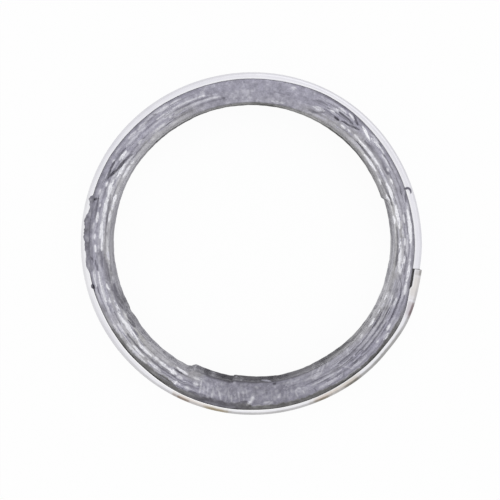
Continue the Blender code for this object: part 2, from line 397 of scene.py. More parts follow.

# %% [markdown]
# ## Marks of the pressing
#
# The dies flatten the wires that stand highest, and these shine as long bright streaks that run round the
# ring. Between them the graphite stays dark, and where the strip was folded it opened in cracks. A painted
# picture could carry them, but then they would be flat and tied to one size of pixel. Here each mark is one
# row: start and end angle, radius at either end in millimetres, width in millimetres, and strength. A mark
# is a capsule shape, and a field of marks is the strongest of them at each point.

# %% Bright streaks
BRIGHT_STREAKS = [
    (1.0, 12.6, 20.56, 20.56, 0.42, 1.0), (8.4, 11.4, 19.95, 19.95, 0.24, 0.65),
    (6.6, 16.0, 19.26, 19.24, 0.36, 1.0), (15.5, 24.6, 19.22, 19.14, 0.34, 1.0),
    (24.4, 30.6, 19.16, 19.26, 0.24, 0.5),
    (8.7, 11.5, 18.67, 18.67, 0.32, 1.0), (17.2, 20.4, 18.58, 18.56, 0.28, 0.95),
    (25.4, 27.6, 18.44, 18.44, 0.24, 0.6), (0.0, 2.5, 19.82, 19.82, 0.24, 0.8),
    (358.0, 2.4, 19.19, 19.19, 0.30, 0.9), (3.4, 6.3, 19.60, 19.60, 0.18, 0.5),
    (23.7, 25.6, 19.84, 19.80, 0.24, 0.75), (28.5, 29.6, 20.04, 20.04, 0.22, 0.75),
    (30.2, 44.4, 19.30, 19.34, 0.32, 0.8), (31.0, 38.8, 18.64, 18.62, 0.28, 0.85),
    (30.2, 34.8, 20.44, 20.40, 0.24, 0.6), (34.8, 41.8, 20.70, 20.68, 0.26, 0.75),
    (41.8, 46.8, 20.36, 20.88, 0.28, 0.95), (50.9, 53.4, 20.80, 21.08, 0.28, 0.7),
    (51.2, 53.4, 19.28, 19.28, 0.24, 0.7), (49.0, 50.3, 19.34, 19.34, 0.30, 0.6),
    (45.0, 47.0, 19.42, 19.42, 0.36, 0.5), (54.5, 57.6, 20.92, 20.90, 0.34, 0.5),
    (57.0, 58.2, 20.36, 20.70, 0.26, 0.6), (58.2, 59.7, 20.16, 20.12, 0.28, 0.9),
    (61.6, 66.0, 19.60, 19.52, 0.42, 0.5), (74.1, 75.5, 20.90, 20.90, 0.34, 0.5),
    (77.6, 82.0, 18.68, 18.68, 0.30, 0.35), (101.6, 120.5, 19.56, 19.58, 0.22, 0.40),
    (116.0, 119.8, 20.86, 20.88, 0.34, 0.45), (121.0, 125.4, 20.86, 20.90, 0.36, 0.50),
    (107.5, 127.0, 20.18, 20.26, 0.22, 0.60), (121.6, 122.8, 19.56, 19.56, 0.26, 0.5),
    (130.6, 134.5, 20.86, 20.86, 0.38, 0.4), (135.6, 139.0, 20.90, 20.90, 0.38, 0.45),
    (136.0, 138.0, 19.56, 19.56, 0.26, 0.7), (143.1, 147.0, 20.18, 20.22, 0.32, 0.85),
    (148.1, 149.0, 20.86, 20.86, 0.24, 0.6), (147.3, 154.0, 19.36, 19.42, 0.34, 0.95),
    (144.0, 145.6, 18.78, 18.72, 0.34, 0.85), (147.0, 151.8, 18.74, 18.74, 0.28, 0.7),
    (154.8, 161.0, 19.72, 19.58, 0.38, 0.9), (160.5, 170.0, 19.58, 19.48, 0.36, 0.9),
    (169.0, 182.0, 19.48, 19.44, 0.38, 0.95), (156.3, 158.0, 20.26, 20.26, 0.28, 0.85),
    (159.6, 161.4, 20.76, 20.76, 0.30, 0.55), (159.8, 162.7, 18.64, 18.64, 0.34, 0.9),
    (163.0, 165.7, 18.60, 18.60, 0.28, 0.6), (166.6, 170.4, 18.76, 18.70, 0.26, 0.65),
    (164.7, 165.8, 20.22, 20.22, 0.22, 0.7), (168.0, 171.4, 20.26, 20.22, 0.28, 0.85),
    (172.2, 173.8, 20.58, 20.58, 0.34, 0.5), (176.0, 177.6, 20.28, 20.28, 0.28, 0.7),
    (180.0, 182.4, 20.22, 20.20, 0.26, 0.8), (180.5, 187.4, 18.66, 18.56, 0.28, 0.5),
    (189.0, 194.8, 20.68, 20.78, 0.28, 0.6), (190.0, 204.0, 20.12, 20.22, 0.28, 0.75),
    (193.0, 195.3, 18.48, 18.54, 0.28, 0.85), (195.1, 197.0, 19.40, 19.36, 0.40, 0.85),
    (200.6, 202.0, 19.72, 19.72, 0.30, 0.7), (202.0, 207.0, 19.16, 19.16, 0.32, 0.7),
    (207.0, 211.4, 19.42, 19.36, 0.34, 0.8), (210.8, 219.6, 19.22, 19.22, 0.46, 0.85),
    (210.0, 215.4, 20.62, 20.66, 0.36, 0.4), (210.6, 215.6, 20.10, 20.10, 0.28, 0.6),
    (218.6, 228.2, 20.66, 20.58, 0.32, 0.55), (220.3, 226.0, 20.14, 20.14, 0.26, 0.85),
    (221.0, 228.0, 19.46, 19.40, 0.32, 0.9), (228.2, 234.0, 20.18, 20.18, 0.30, 0.6),
    (228.8, 230.6, 19.26, 19.26, 0.46, 0.5), (231.8, 235.8, 19.26, 19.38, 0.34, 0.75),
    (236.2, 239.8, 19.36, 19.40, 0.44, 0.95), (240.5, 242.6, 19.58, 19.58, 0.36, 0.7),
    (238.8, 243.6, 18.64, 18.76, 0.26, 0.85), (239.8, 242.6, 20.50, 20.42, 0.46, 0.8),
    (244.6, 246.8, 20.46, 20.38, 0.36, 0.7), (247.4, 248.8, 19.52, 19.48, 0.44, 0.7),
    (246.6, 248.8, 18.78, 18.78, 0.36, 0.5), (294.4, 304.0, 19.82, 19.82, 0.24, 0.37),
    (295.5, 303.5, 20.52, 20.56, 0.34, 0.32), (294.4, 297.2, 19.04, 19.06, 0.34, 0.42),
    (309.0, 316.0, 20.64, 20.66, 0.34, 0.32), (317.0, 330.6, 19.90, 19.90, 0.24, 0.38),
    (316.0, 329.0, 19.30, 19.30, 0.24, 0.26), (324.6, 327.0, 21.12, 21.10, 0.34, 1.0),
    (328.0, 330.0, 20.72, 20.70, 0.34, 0.8), (322.2, 323.0, 20.58, 20.58, 0.28, 0.5),
    (325.6, 328.8, 18.42, 18.48, 0.46, 1.0), (319.8, 322.3, 18.60, 18.14, 0.26, 0.47),
    (330.4, 334.0, 18.02, 18.08, 0.26, 0.75), (336.8, 340.2, 18.14, 18.16, 0.28, 1.0),
    (333.8, 337.4, 18.72, 18.74, 0.26, 0.5), (338.8, 341.0, 18.76, 18.76, 0.34, 0.5),
    (336.6, 340.4, 19.36, 19.36, 0.28, 0.5), (337.2, 339.8, 19.96, 19.98, 0.32, 0.5),
    (342.2, 346.0, 20.80, 20.60, 0.32, 0.82), (346.9, 352.8, 20.60, 20.58, 0.28, 0.82),
    (349.6, 351.9, 19.58, 19.22, 0.48, 0.70), (350.2, 353.4, 19.64, 19.62, 0.28, 0.6),
    (353.4, 356.0, 20.52, 20.52, 0.28, 0.65), (353.4, 355.6, 19.82, 19.82, 0.32, 0.8),
    (352.2, 359.4, 19.26, 19.24, 0.32, 0.9),
]
print("Bright streaks:", len(BRIGHT_STREAKS))

# %% Dark folds
DARK_FOLDS = [
    (0.0, 12.6, 20.92, 20.92, 0.20, 0.5), (4.0, 12.0, 20.20, 20.22, 0.20, 0.45),
    (359.0, 7.0, 18.90, 18.88, 0.22, 0.5), (15.6, 26.0, 18.86, 18.64, 0.20, 0.5),
    (27.6, 42.6, 19.80, 19.80, 0.44, 0.62), (35.2, 38.6, 21.04, 21.04, 0.22, 0.5),
    (18.8, 20.4, 20.46, 20.46, 0.26, 0.4), (15.8, 18.6, 20.68, 20.96, 0.22, 0.6),
    (48.5, 51.6, 20.66, 21.22, 0.26, 0.75), (50.2, 56.6, 20.34, 20.50, 0.26, 0.85),
    (50.1, 52.0, 20.32, 20.34, 0.22, 0.7), (47.2, 51.0, 20.28, 19.90, 0.26, 0.75),
    (50.6, 54.0, 19.90, 19.68, 0.28, 0.8), (55.1, 57.0, 19.64, 19.64, 0.26, 1.0),
    (57.0, 62.0, 19.74, 19.84, 0.22, 0.5), (61.6, 66.0, 20.48, 20.44, 0.28, 0.45),
    (61.2, 64.0, 19.52, 19.00, 0.30, 0.5), (63.6, 67.0, 18.94, 18.82, 0.30, 0.42),
    (76.0, 80.6, 19.86, 19.86, 0.26, 0.25), (92.2, 92.9, 20.32, 21.22, 0.12, 0.4),
    (100.4, 101.2, 19.28, 19.32, 0.34, 0.45), (101.6, 114.6, 19.20, 19.18, 0.26, 0.34),
    (109.4, 110.4, 20.42, 20.02, 0.2, 0.35), (104.0, 124.5, 19.86, 19.88, 0.22, 0.45),
    (119.4, 124.0, 20.54, 20.56, 0.18, 0.35), (114.8, 118.2, 19.16, 19.16, 0.26, 0.35),
    (121.5, 123.5, 19.16, 19.16, 0.22, 0.4), (126.2, 127.2, 20.86, 21.12, 0.28, 0.5),
    (142.2, 149.0, 20.48, 20.68, 0.24, 0.6), (148.4, 152.0, 20.70, 20.64, 0.26, 0.85),
    (151.6, 155.2, 20.60, 20.42, 0.30, 0.95), (142.8, 146.6, 19.36, 19.66, 0.36, 0.6),
    (146.4, 151.0, 19.68, 19.86, 0.38, 1.0), (150.4, 154.4, 19.84, 20.38, 0.36, 0.95),
    (154.0, 157.2, 20.40, 20.84, 0.36, 0.38), (160.4, 166.0, 19.26, 19.10, 0.26, 0.6),
    (165.6, 172.0, 19.10, 18.94, 0.24, 0.5), (162.8, 170.4, 20.64, 20.56, 0.30, 0.6),
    (163.0, 164.2, 20.72, 21.42, 0.34, 0.85), (172.8, 181.5, 21.36, 21.32, 0.32, 1.0),
    (184.2, 185.6, 20.90, 20.62, 0.26, 0.8), (185.6, 189.2, 20.32, 20.20, 0.30, 0.6),
    (184.4, 185.6, 19.44, 19.38, 0.6, 0.6), (185.0, 195.0, 19.20, 18.98, 0.72, 0.5),
    (191.0, 194.0, 18.88, 18.82, 0.30, 0.7), (189.0, 190.8, 18.52, 18.52, 0.26, 0.6),
    (194.2, 196.0, 21.28, 21.28, 0.44, 1.0), (204.0, 206.4, 18.70, 18.62, 0.26, 0.85),
    (201.0, 205.6, 18.24, 18.18, 0.34, 0.8), (211.2, 215.0, 18.78, 18.58, 0.22, 0.8),
    (213.6, 217.2, 18.58, 18.24, 0.30, 0.9), (206.0, 211.0, 19.80, 19.80, 0.26, 0.55),
    (215.6, 240.0, 19.82, 19.82, 0.28, 0.6), (215.6, 218.8, 18.82, 18.82, 0.24, 0.55),
    (237.8, 241.6, 18.92, 18.98, 0.16, 0.75), (240.0, 249.8, 20.00, 20.00, 0.24, 0.45),
    (234.6, 238.4, 20.66, 20.70, 0.50, 0.7), (247.0, 253.0, 20.72, 20.48, 0.40, 0.7),
    (264.6, 268.2, 20.72, 20.42, 0.36, 0.8), (291.0, 305.6, 19.50, 19.50, 0.20, 0.6),
    (295.2, 304.0, 20.04, 20.04, 0.18, 0.5), (293.6, 294.0, 20.32, 20.88, 0.16, 0.65),
    (305.0, 306.6, 20.88, 20.12, 0.18, 0.4), (309.6, 314.6, 20.28, 20.28, 0.22, 0.6),
    (313.0, 320.6, 19.64, 19.62, 0.22, 0.7), (313.0, 315.4, 19.08, 19.08, 0.24, 0.75),
    (315.0, 330.0, 20.12, 20.12, 0.24, 0.65), (323.0, 335.6, 19.64, 19.64, 0.22, 0.65),
    (325.6, 332.6, 19.00, 18.98, 0.24, 0.8), (331.0, 341.6, 20.34, 20.34, 0.22, 0.60),
    (341.6, 346.0, 20.34, 19.98, 0.20, 0.45), (345.6, 348.6, 19.98, 19.42, 0.20, 0.4),
    (334.4, 340.2, 18.40, 18.44, 0.18, 0.65), (337.0, 339.6, 19.70, 19.72, 0.20, 0.65),
    (342.0, 343.6, 19.76, 19.72, 0.24, 0.6), (349.0, 355.6, 20.08, 20.08, 0.30, 0.5),
    (352.0, 360.0, 18.88, 18.90, 0.24, 0.6), (356.0, 357.6, 19.98, 19.82, 0.3, 0.5),
    (278.9, 279.9, 18.34, 18.20, 0.36, 0.95), (247.0, 258.0, 20.64, 20.54, 0.50, 0.40),
    (198.4, 203.6, 18.77, 18.36, 0.60, 0.75), (201.4, 206.8, 18.55, 18.05, 0.46, 0.80),
    (206.4, 210.0, 18.45, 18.18, 0.50, 0.55), (209.6, 216.8, 18.50, 18.22, 0.44, 0.85),
    (182.2, 187.8, 19.70, 19.40, 1.00, 0.44), (187.2, 195.2, 18.98, 18.50, 0.50, 0.60),
    (194.4, 199.0, 19.35, 18.72, 0.50, 0.50), (306.0, 318.0, 19.10, 19.06, 0.22, 0.6),
    (300.0, 312.0, 19.62, 19.60, 0.20, 0.6), (165.0, 178.0, 20.98, 20.98, 0.80, 0.34),
    (176.0, 189.0, 21.00, 20.90, 0.80, 0.36),
    (36.0, 44.6, 18.98, 18.98, 0.22, 0.5), (299.0, 310.0, 20.24, 20.26, 0.24, 0.35),
    (318.0, 326.0, 19.06, 19.02, 0.24, 0.45), (333.0, 345.0, 19.00, 18.94, 0.22, 0.38),
    (336.0, 345.6, 19.62, 19.50, 0.22, 0.35), (319.0, 324.0, 19.64, 19.64, 0.22, 0.45),
]
print("Dark folds:", len(DARK_FOLDS))

# %% Strokes of knitted loops
LOOP_STROKES = [
    (249.8, 250.7, 18.82, 20.52, 0.26, 0.75), (251.4, 252.2, 19.32, 20.52, 0.22, 0.40),
    (252.6, 253.4, 18.82, 20.12, 0.22, 0.30), (255.0, 255.3, 19.22, 20.52, 0.30, 0.60),
    (257.4, 258.8, 19.52, 20.52, 0.28, 0.65), (256.1, 258.0, 19.12, 19.12, 0.36, 0.40),
    (260.4, 260.8, 20.72, 19.52, 0.22, 0.45), (261.0, 261.7, 19.22, 20.32, 0.26, 0.70),
    (262.4, 262.7, 19.72, 20.62, 0.28, 0.75), (263.8, 264.1, 19.42, 20.12, 0.24, 0.40),
    (264.9, 265.6, 19.22, 20.42, 0.24, 0.45), (266.7, 267.1, 19.12, 20.32, 0.26, 0.45),
    (268.3, 269.9, 20.86, 20.32, 0.46, 1.0), (269.9, 270.6, 20.32, 19.62, 0.46, 1.0),
    (267.9, 268.3, 18.82, 19.72, 0.22, 0.35), (272.0, 273.0, 20.97, 20.92, 0.26, 0.55),
    (274.4, 276.6, 20.62, 20.52, 0.28, 0.60), (276.1, 277.6, 20.92, 20.52, 0.22, 0.55),
    (271.8, 272.6, 18.42, 18.62, 0.44, 0.50), (274.2, 276.0, 19.32, 19.12, 0.24, 0.35),
    (277.4, 277.8, 20.12, 19.22, 0.26, 0.35), (280.0, 280.9, 20.12, 19.72, 0.36, 0.50),
    (282.2, 282.6, 20.32, 19.42, 0.24, 0.35), (283.3, 284.0, 20.32, 19.52, 0.26, 0.40),
    (285.0, 285.4, 19.82, 19.32, 0.28, 0.40), (286.6, 287.0, 19.92, 20.72, 0.22, 0.50),
    (286.6, 287.6, 19.92, 19.52, 0.22, 0.50), (287.6, 289.2, 19.52, 19.72, 0.22, 0.45),
    (289.2, 289.6, 19.72, 20.52, 0.22, 0.40), (283.0, 288.3, 19.22, 19.17, 0.24, 0.45),
    (280.4, 285.7, 18.52, 18.47, 0.26, 0.50), (286.8, 289.6, 18.52, 18.52, 0.26, 0.45),
    (288.3, 291.2, 19.82, 19.82, 0.24, 0.45), (292.4, 296.0, 19.82, 19.82, 0.22, 0.40),
    (294.0, 296.0, 18.82, 18.27, 0.22, 0.45), (296.2, 299.6, 18.92, 18.02, 0.24, 0.50),
    (298.6, 301.6, 18.82, 18.12, 0.22, 0.45), (301.4, 303.6, 18.62, 18.07, 0.22, 0.40),
    (306.0, 308.8, 19.12, 20.52, 0.26, 0.50), (303.8, 306.0, 20.82, 20.22, 0.24, 0.40),
    (311.4, 313.2, 18.92, 18.12, 0.26, 0.50), (300.6, 302.4, 19.92, 19.22, 0.22, 0.35),
]
print("Loop strokes:", len(LOOP_STROKES))

# %% Fields of marks
MARKS_CENTRE = (-0.00010, -0.00003)
RAGGED_SHARE = 0.16


def mark_field(angle, radius, marks, ragged, halo=0.0):
    """The strongest mark at each point, between 0 and 1.

    Marks were placed about a point a little off the ring's centre. Each is a capsule round the straight line
    between its ends in the plane of arc length and radius: with t the nearest share of that line, the value
    is a smooth step of the distance to the point at t, against half the width, which tapers to both ends. A
    halo is a weaker, wider step round the same line.
    """
    seen = at(angle, radius, 0.0) - np.array([*MARKS_CENTRE, 0.0])
    seen_angle, from_centre = polar(seen)
    field = np.zeros(from_centre.shape)
    for start, end, first_radius, last_radius, width, strength in marks:
        rise = (last_radius - first_radius) * MM
        scale = np.radians(0.5 * (first_radius + last_radius) * MM)
        run = turned(end, start) * scale
        arc = turned(seen_angle, start) * scale
        up = from_centre - first_radius * MM
        t = np.clip((arc * run + up * rise) / (run**2 + rise**2), 0.0, 1.0)
        away = np.hypot(arc - t * run, up - t * rise + ragged * RAGGED_SHARE * width * MM)
        half_width = 0.5 * width * MM * (0.55 + 0.45 * np.sin(np.pi * t))
        core = smooth_step(1.30 - 0.83 * away / half_width)
        glow = halo * smooth_step(1.25 - 0.42 * away / half_width)
        field = np.maximum(field, strength * np.maximum(core, glow))
    return field


middle_of_first = mark_field(np.array([6.8]), np.array([0.02056]), BRIGHT_STREAKS[:1], 0.0)
print("The first streak at its middle:", middle_of_first.round(2))

# %% [markdown]
# ## The face of the winding
#
# The pressed face is a height above the polar plane of the ring. The turns of the strip meet in creases
# that follow the spiral, the outer turn rolls down to the band, and the marks lie on top: streaks stand up
# to the height of the dies, folds sink. Sculpting would give the same relief by hand, but a formula can be
# read, and it lays the wires on the face later. Three shares go with the height, for the material: how far
# the wires are burnished, how much bare graphite shows, and how warm the grey is.

# %% Where the turns lie
def tail_share(angle):
    """Share of its full thickness that the last turn takes up: a smooth step of the degrees to its end."""
    before_end = (OUTER_END_DEG - INNER_END_DEG) % 360.0 - past_inner_end(angle)
    return smooth_step((before_end + TAIL_SETTLE_DEG) / (TAIL_TAPER_DEG + TAIL_SETTLE_DEG))


def turn_number(angle, radius):
    """Turns from the bore to a radius: whole numbers lie on the creases between one turn and the next.

    It is the share of the way from the bore to the rim, times the turns that lie there.
    """
    room = winding_radius(angle) - spiral_bore(angle)
    return (radius - spiral_bore(angle)) / room * (WHOLE_TURNS + tail_share(angle))


print("Turns across the strip at 90 degrees:", round(float(turn_number(90.0, winding_radius(90.0))), 2))

# %% [markdown]
# ## Zones and tones of the face
#
# The face is not alike all round. Between 190 and 342 degrees the outer turn rolls down steeply to the band
# and lies in its shade. Between 248 and 296 degrees the ends of knitted loops show, and there the first leaf
# of the strip curls over the bore, with shade painted along its edge. Between 62 and 120 degrees graphite was
# smeared over the wires. The broad tones come from stations of angle and value, and they are few.

# %% Zones and tones
SHADED_ZONE = (190.0, 218.0, 328.0, 342.0)
LOOP_ZONE = (248.0, 251.0, 284.0, 296.0)
LEAF_ZONE = (249.5, 251.0, 264.0, 290.0)
MATTE_ZONE = (62.0, 74.0, 106.0, 120.0)

INNER_TONE = [
    (0, 0.14), (45, 0.09), (70, -0.05), (90, -0.06), (115, 0.03), (150, 0.26), (172, 0.13), (190, -0.03),
    (210, 0.14), (235, 0.07), (250, -0.12), (262, -0.31), (282, -0.31), (294, -0.17), (306, -0.04),
    (325, 0.08), (345, 0.10),
]
OUTER_TONE = [
    (0, 0.08), (30, 0.08), (60, 0.0), (90, -0.04), (120, 0.06), (150, 0.0), (180, 0.06), (210, 0.15),
    (230, 0.04), (250, -0.14), (262, -0.30), (282, -0.30), (294, -0.15), (315, -0.02), (340, 0.06),
]
SHADE_WIDTH_MM = [
    (196, 0.36), (222, 0.66), (233, 0.68), (236, 1.0), (239, 0.95), (242, 0.68), (250, 0.90), (256, 1.04),
    (261, 0.86), (264, 1.02), (268, 1.10), (270, 0.66), (282, 0.64), (294, 0.72), (300, 0.60), (306, 0.54),
    (320, 0.56), (332, 0.56),
]
SMEARS = [(199.0, 20.0, 0.01935, 0.0005, 1.0), (270.0, 14.0, 0.0193, 0.0006, 0.7)]


def blotches(angle, radius):
    """Dark smears on the inner half of the face: a hump round an angle, faded outwards past a radius."""
    rows = [
        strength * hump(angle, centre, half_width) * smooth_step((reach - radius) / fade)
        for centre, half_width, reach, fade, strength in SMEARS
    ]
    return np.maximum.reduce(rows)


print("Inner tone runs from", min(tone for _, tone in INNER_TONE), "to", max(tone for _, tone in INNER_TONE))

# %% What the marks of one face share
FACE_SEED = {1: 100, 0: 200}
FACE_GRAINS = {
    "torn": (420, 0.0006, 1), "fine": (900, 0.00010, 4), "middling": (260, 0.00030, 5),
    "broad": (46, 0.0011, 6), "mottle": (170, 0.0006, 7), "stitches": (400, 0.00028, 8),
}
SHOULDER_WIDTH = 0.0007
INNER_HALF_EDGE = 0.0201
INNER_HALF_FADE = 0.0013


class FacePart:
    """Points of one face, with the random fields, turn numbers and zones that its marks share.

    marked is 1 for the upper face, which has the marks above, and 0 for the lower face, which is plain.
    """

    def __init__(self, angle, radius, marked):
        self.angle = angle
        self.radius = radius
        self.marked = marked
        self.seed = FACE_SEED[marked]
        for name, (cells_round, across, step) in FACE_GRAINS.items():
            setattr(self, name, grain(angle, radius, cells_round, across, self.seed + step))
        self.ragged = 0.7 * self.torn + 0.5 * self.fine
        self.turns = turn_number(angle, radius)
        self.calm = marked * zone(angle, *MATTE_ZONE)
        self.looped = marked * zone(angle, *LOOP_ZONE)
        self.shoulder = smooth_step((radius - winding_radius(angle)) / SHOULDER_WIDTH + 1.0)
        self.inner_half = smooth_step((INNER_HALF_EDGE - radius + 0.5 * self.broad * MM) / INNER_HALF_FADE)
        self.from_bore = radius - bore_radius(angle)
        self.to_edge = radius - face_edge(angle)


sample = FacePart(np.array([6.8, 90.0]), np.array([0.02056, 0.01950]), 1)
print("Two sample points, on a bright streak and on smeared graphite, in turns:", sample.turns.round(2))

# %% [markdown]
# ## Creases, ridges and marks
#
# Where two turns meet, the press leaves a crease that is coloured darker, and along the middle of a turn the
# wires lie highest and shine a little. Straight circles would look turned on a lathe, so both follow the turn
# number of the spiral, which a random field makes ragged. The marks from the tables lie over them.

# %% Creases, ridges and marks
CREASE_WIDTH = 0.24
RIDGE_WIDTH = 0.42
STREAK_HALO = 0.30


def creases(part):
    """Dark lines where the turn number, made ragged, is whole, fading out over a share of a turn."""
    place = part.turns + 0.10 * part.ragged
    depth = 0.50 + 0.60 * grain(part.angle, part.radius, 55, 0.0005, part.seed + 2)
    crease = smooth_step(1.0 - np.abs(place - np.round(place)) / CREASE_WIDTH) * depth
    return np.clip(crease, 0.0, 1.0) * (1.0 - part.looped) * (1.0 - 0.8 * part.calm)


def ridge_shine(part):
    """Faint shine along the middle of each turn, where a random field along the turn allows it."""
    whole = np.floor(part.turns)
    ridge = smooth_step(1.0 - np.abs(part.turns - whole - 0.5 + 0.12 * part.ragged) / RIDGE_WIDTH)
    shine = smooth_step(1.4 * grain(part.angle, whole, 62, 1.0, part.seed + 3) - 0.1) * ridge
    clear = (1.0 - part.calm) * (1.0 - part.looped) * (1.0 - 0.5 * hump(part.angle, 322.0, 34.0))
    return shine * (0.40 * clear + 0.3 * (1 - part.marked))


def face_marks(part):
    """Bright streaks, loop strokes, dark folds and smears of graphite, each between 0 and 1."""
    if not part.marked:
        return [np.zeros_like(part.turns)] * 4
    dark = 0.85 * mark_field(part.angle, part.radius, DARK_FOLDS, part.ragged)
    stroke = mark_field(part.angle, part.radius, LOOP_STROKES, part.ragged)
    bright = mark_field(part.angle, part.radius, BRIGHT_STREAKS, part.ragged, STREAK_HALO)
    bright = bright * (1.0 - 0.40 * np.clip(-part.fine, 0.0, 1.0)) * (1.0 - dark)
    smear = smooth_step(0.55 + 1.3 * grain(part.angle, part.radius, 96, 0.0005, 61))
    return bright, stroke, dark, smear * blotches(part.angle, part.radius)


print("Crease and streak at the samples:", creases(sample).round(2), face_marks(sample)[0].round(2))

# %% [markdown]
# ## Shade along the rim and the brink of the bore
#
# Shade is painted as a share of graphite in the groove where the lip closes on the face, and along the edge
# of the bore. At the lower side the outer turn rolls down under the lip, and its slope faces away from the
# light. Lamps alone don't darken it enough, so its shade is painted as a share of graphite too.

# %% Rim groove shade, rim shade and brink shade
RIM_SHADE_WIDTH = 0.0004
RIM_SHADE_DEPTH = 0.34
RIM_SHADE_HUMPS = [
    (56.0, 16.0, 0.16), (140.0, 26.0, 0.04), (12.0, 30.0, -0.15), (140.0, 40.0, -0.06), (336.0, 20.0, 0.10),
]
SHADE_FADE = 0.00026
SHADE_DEPTH = 0.62
SHADE_HUMPS = [(262.0, 24.0, 0.06), (312.0, 28.0, 0.06)]
BRINK_SHADE_WIDTH = 0.00015
LEAF_BRINK_SHADE_WIDTH = 0.00022


def rim_groove_shade(part):
    """Painted shade in the groove along the lip, of uneven depth: a smooth step from one rim width inside the
    edge.
    """
    depth = RIM_SHADE_DEPTH + humps(part.angle, RIM_SHADE_HUMPS) - 0.30 * part.calm
    return smooth_step(1.3 * (1.0 + part.to_edge / RIM_SHADE_WIDTH)) * depth


def rim_shade(part):
    """1 where shade is painted on the rolled-down outer turn, whose inner edge wanders with the random fields.
    """
    width = (profile(part.angle, SHADE_WIDTH_MM) + 0.16 * part.ragged + 0.12 * part.broad) * MM
    return part.marked * zone(part.angle, *SHADED_ZONE) * smooth_step((part.to_edge + width) / SHADE_FADE)


def brink_shade(part):
    """Painted shade along the edge of the bore: thin at the upper side, wider along the first leaf."""
    upper_side = 0.30 * hump(part.angle, 86.0, 74.0) * smooth_step(1.7 - part.from_bore / BRINK_SHADE_WIDTH)
    leaf = 0.60 * zone(part.angle, *LEAF_ZONE) * smooth_step(1.7 - part.from_bore / LEAF_BRINK_SHADE_WIDTH)
    return part.marked * (upper_side + leaf)


print("Rim line at its deepest:", round(float((RIM_SHADE_DEPTH + humps(np.arange(360.0), RIM_SHADE_HUMPS)).max()), 2))

# %% [markdown]
# ## Warmth of the grey
#
# Seen closely, the grey isn't one grey: bluish where mesh and graphite are freshly pressed, and warmer where
# the face is dusty or worn, and in the painted shade along the rim. One share carries this all round, so that
# one material can mix the two greys.

# %% Warmth of the grey
def face_warmth(part, dark, smear, shade):
    """How warm the grey is: most on the inner half, at the bore's edge in patches, and in the painted shade.

    Loops, smeared graphite and the lower right stay cool, and so do dark folds.
    """
    tinted = 1.0 - 0.9 * part.looped - 0.8 * part.calm - 0.8 * part.marked * hump(part.angle, 302.0, 28.0)
    tinted = np.clip(tinted, 0.0, 1.0)
    edge_patch = smooth_step(1.0 - (part.from_bore - 0.3 * MM) / (0.5 * MM))
    edge_patch = edge_patch * smooth_step(0.3 + 1.6 * part.broad)
    warmth = 0.06 + 0.18 * part.marked * hump(part.angle, 6.0, 40.0) + 0.54 * part.inner_half * tinted
    warmth = np.maximum(warmth, 0.7 * hump(part.angle, 222.0, 26.0))
    warmth = np.maximum(warmth, 0.9 * edge_patch * tinted) * (1.0 - 0.8 * smear) * (1.0 - 0.9 * dark)
    # The painted shade takes the warm grey and the dusty graphite.
    in_shade = 0.9 * shade * (1.0 - 0.8 * hump(part.angle, 257.0, 17.0))
    return np.clip(np.maximum(warmth, in_shade), 0.0, 1.0)


print("Warmth at the samples:", face_warmth(sample, 0.0, 0.0, 0.0).round(2))

# %% [markdown]
# ## Height and finish of the face
#
# All the marks meet here. A mark that shines is also a little higher, and a fold is both dark and deep, so
# the light agrees with the colour from every side. The strongest mark wins at each point, because on the
# real face one thing lies over another and they don't add up.

# %% Height and finish of the face
FACE_LEVEL = RING_HEIGHT - 0.00007
FACE_TOP = RING_HEIGHT - 0.000002
SHOULDER_DROP = 0.00032
CREASE_DEPTH = 0.00009
FOLD_DEPTH = 0.00020
STREAK_RISE = 0.00004
WAVES = {"broad": 0.000018, "middling": 0.000016, "fine": 0.000008}
SPOTS = {"mottle": (0.04, 0.09, 0.07), "stitches": (0.02, 0.09, 0.06)}
STREAK_SHINE = 1.06
STROKE_SHINE = 0.62
TANGLE_SHINE = 0.20
CREASE_DARKENING = 0.50
SMEAR_SOOT = 0.62


def spots(part):
    """Lighter and darker spots: faint on plain turns, and stronger on smeared graphite and on loops."""
    rows = [
        getattr(part, name) * (plain + on_smears * part.calm + on_loops * part.looped)
        for name, (plain, on_smears, on_loops) in SPOTS.items()
    ]
    return sum(rows)


def broad_tone(part):
    """Lightness of the face, above or below 0: the outer half's stations, blended into the inner half's."""
    outer = profile(part.angle, OUTER_TONE)
    return part.marked * (outer + (profile(part.angle, INNER_TONE) - outer) * part.inner_half)


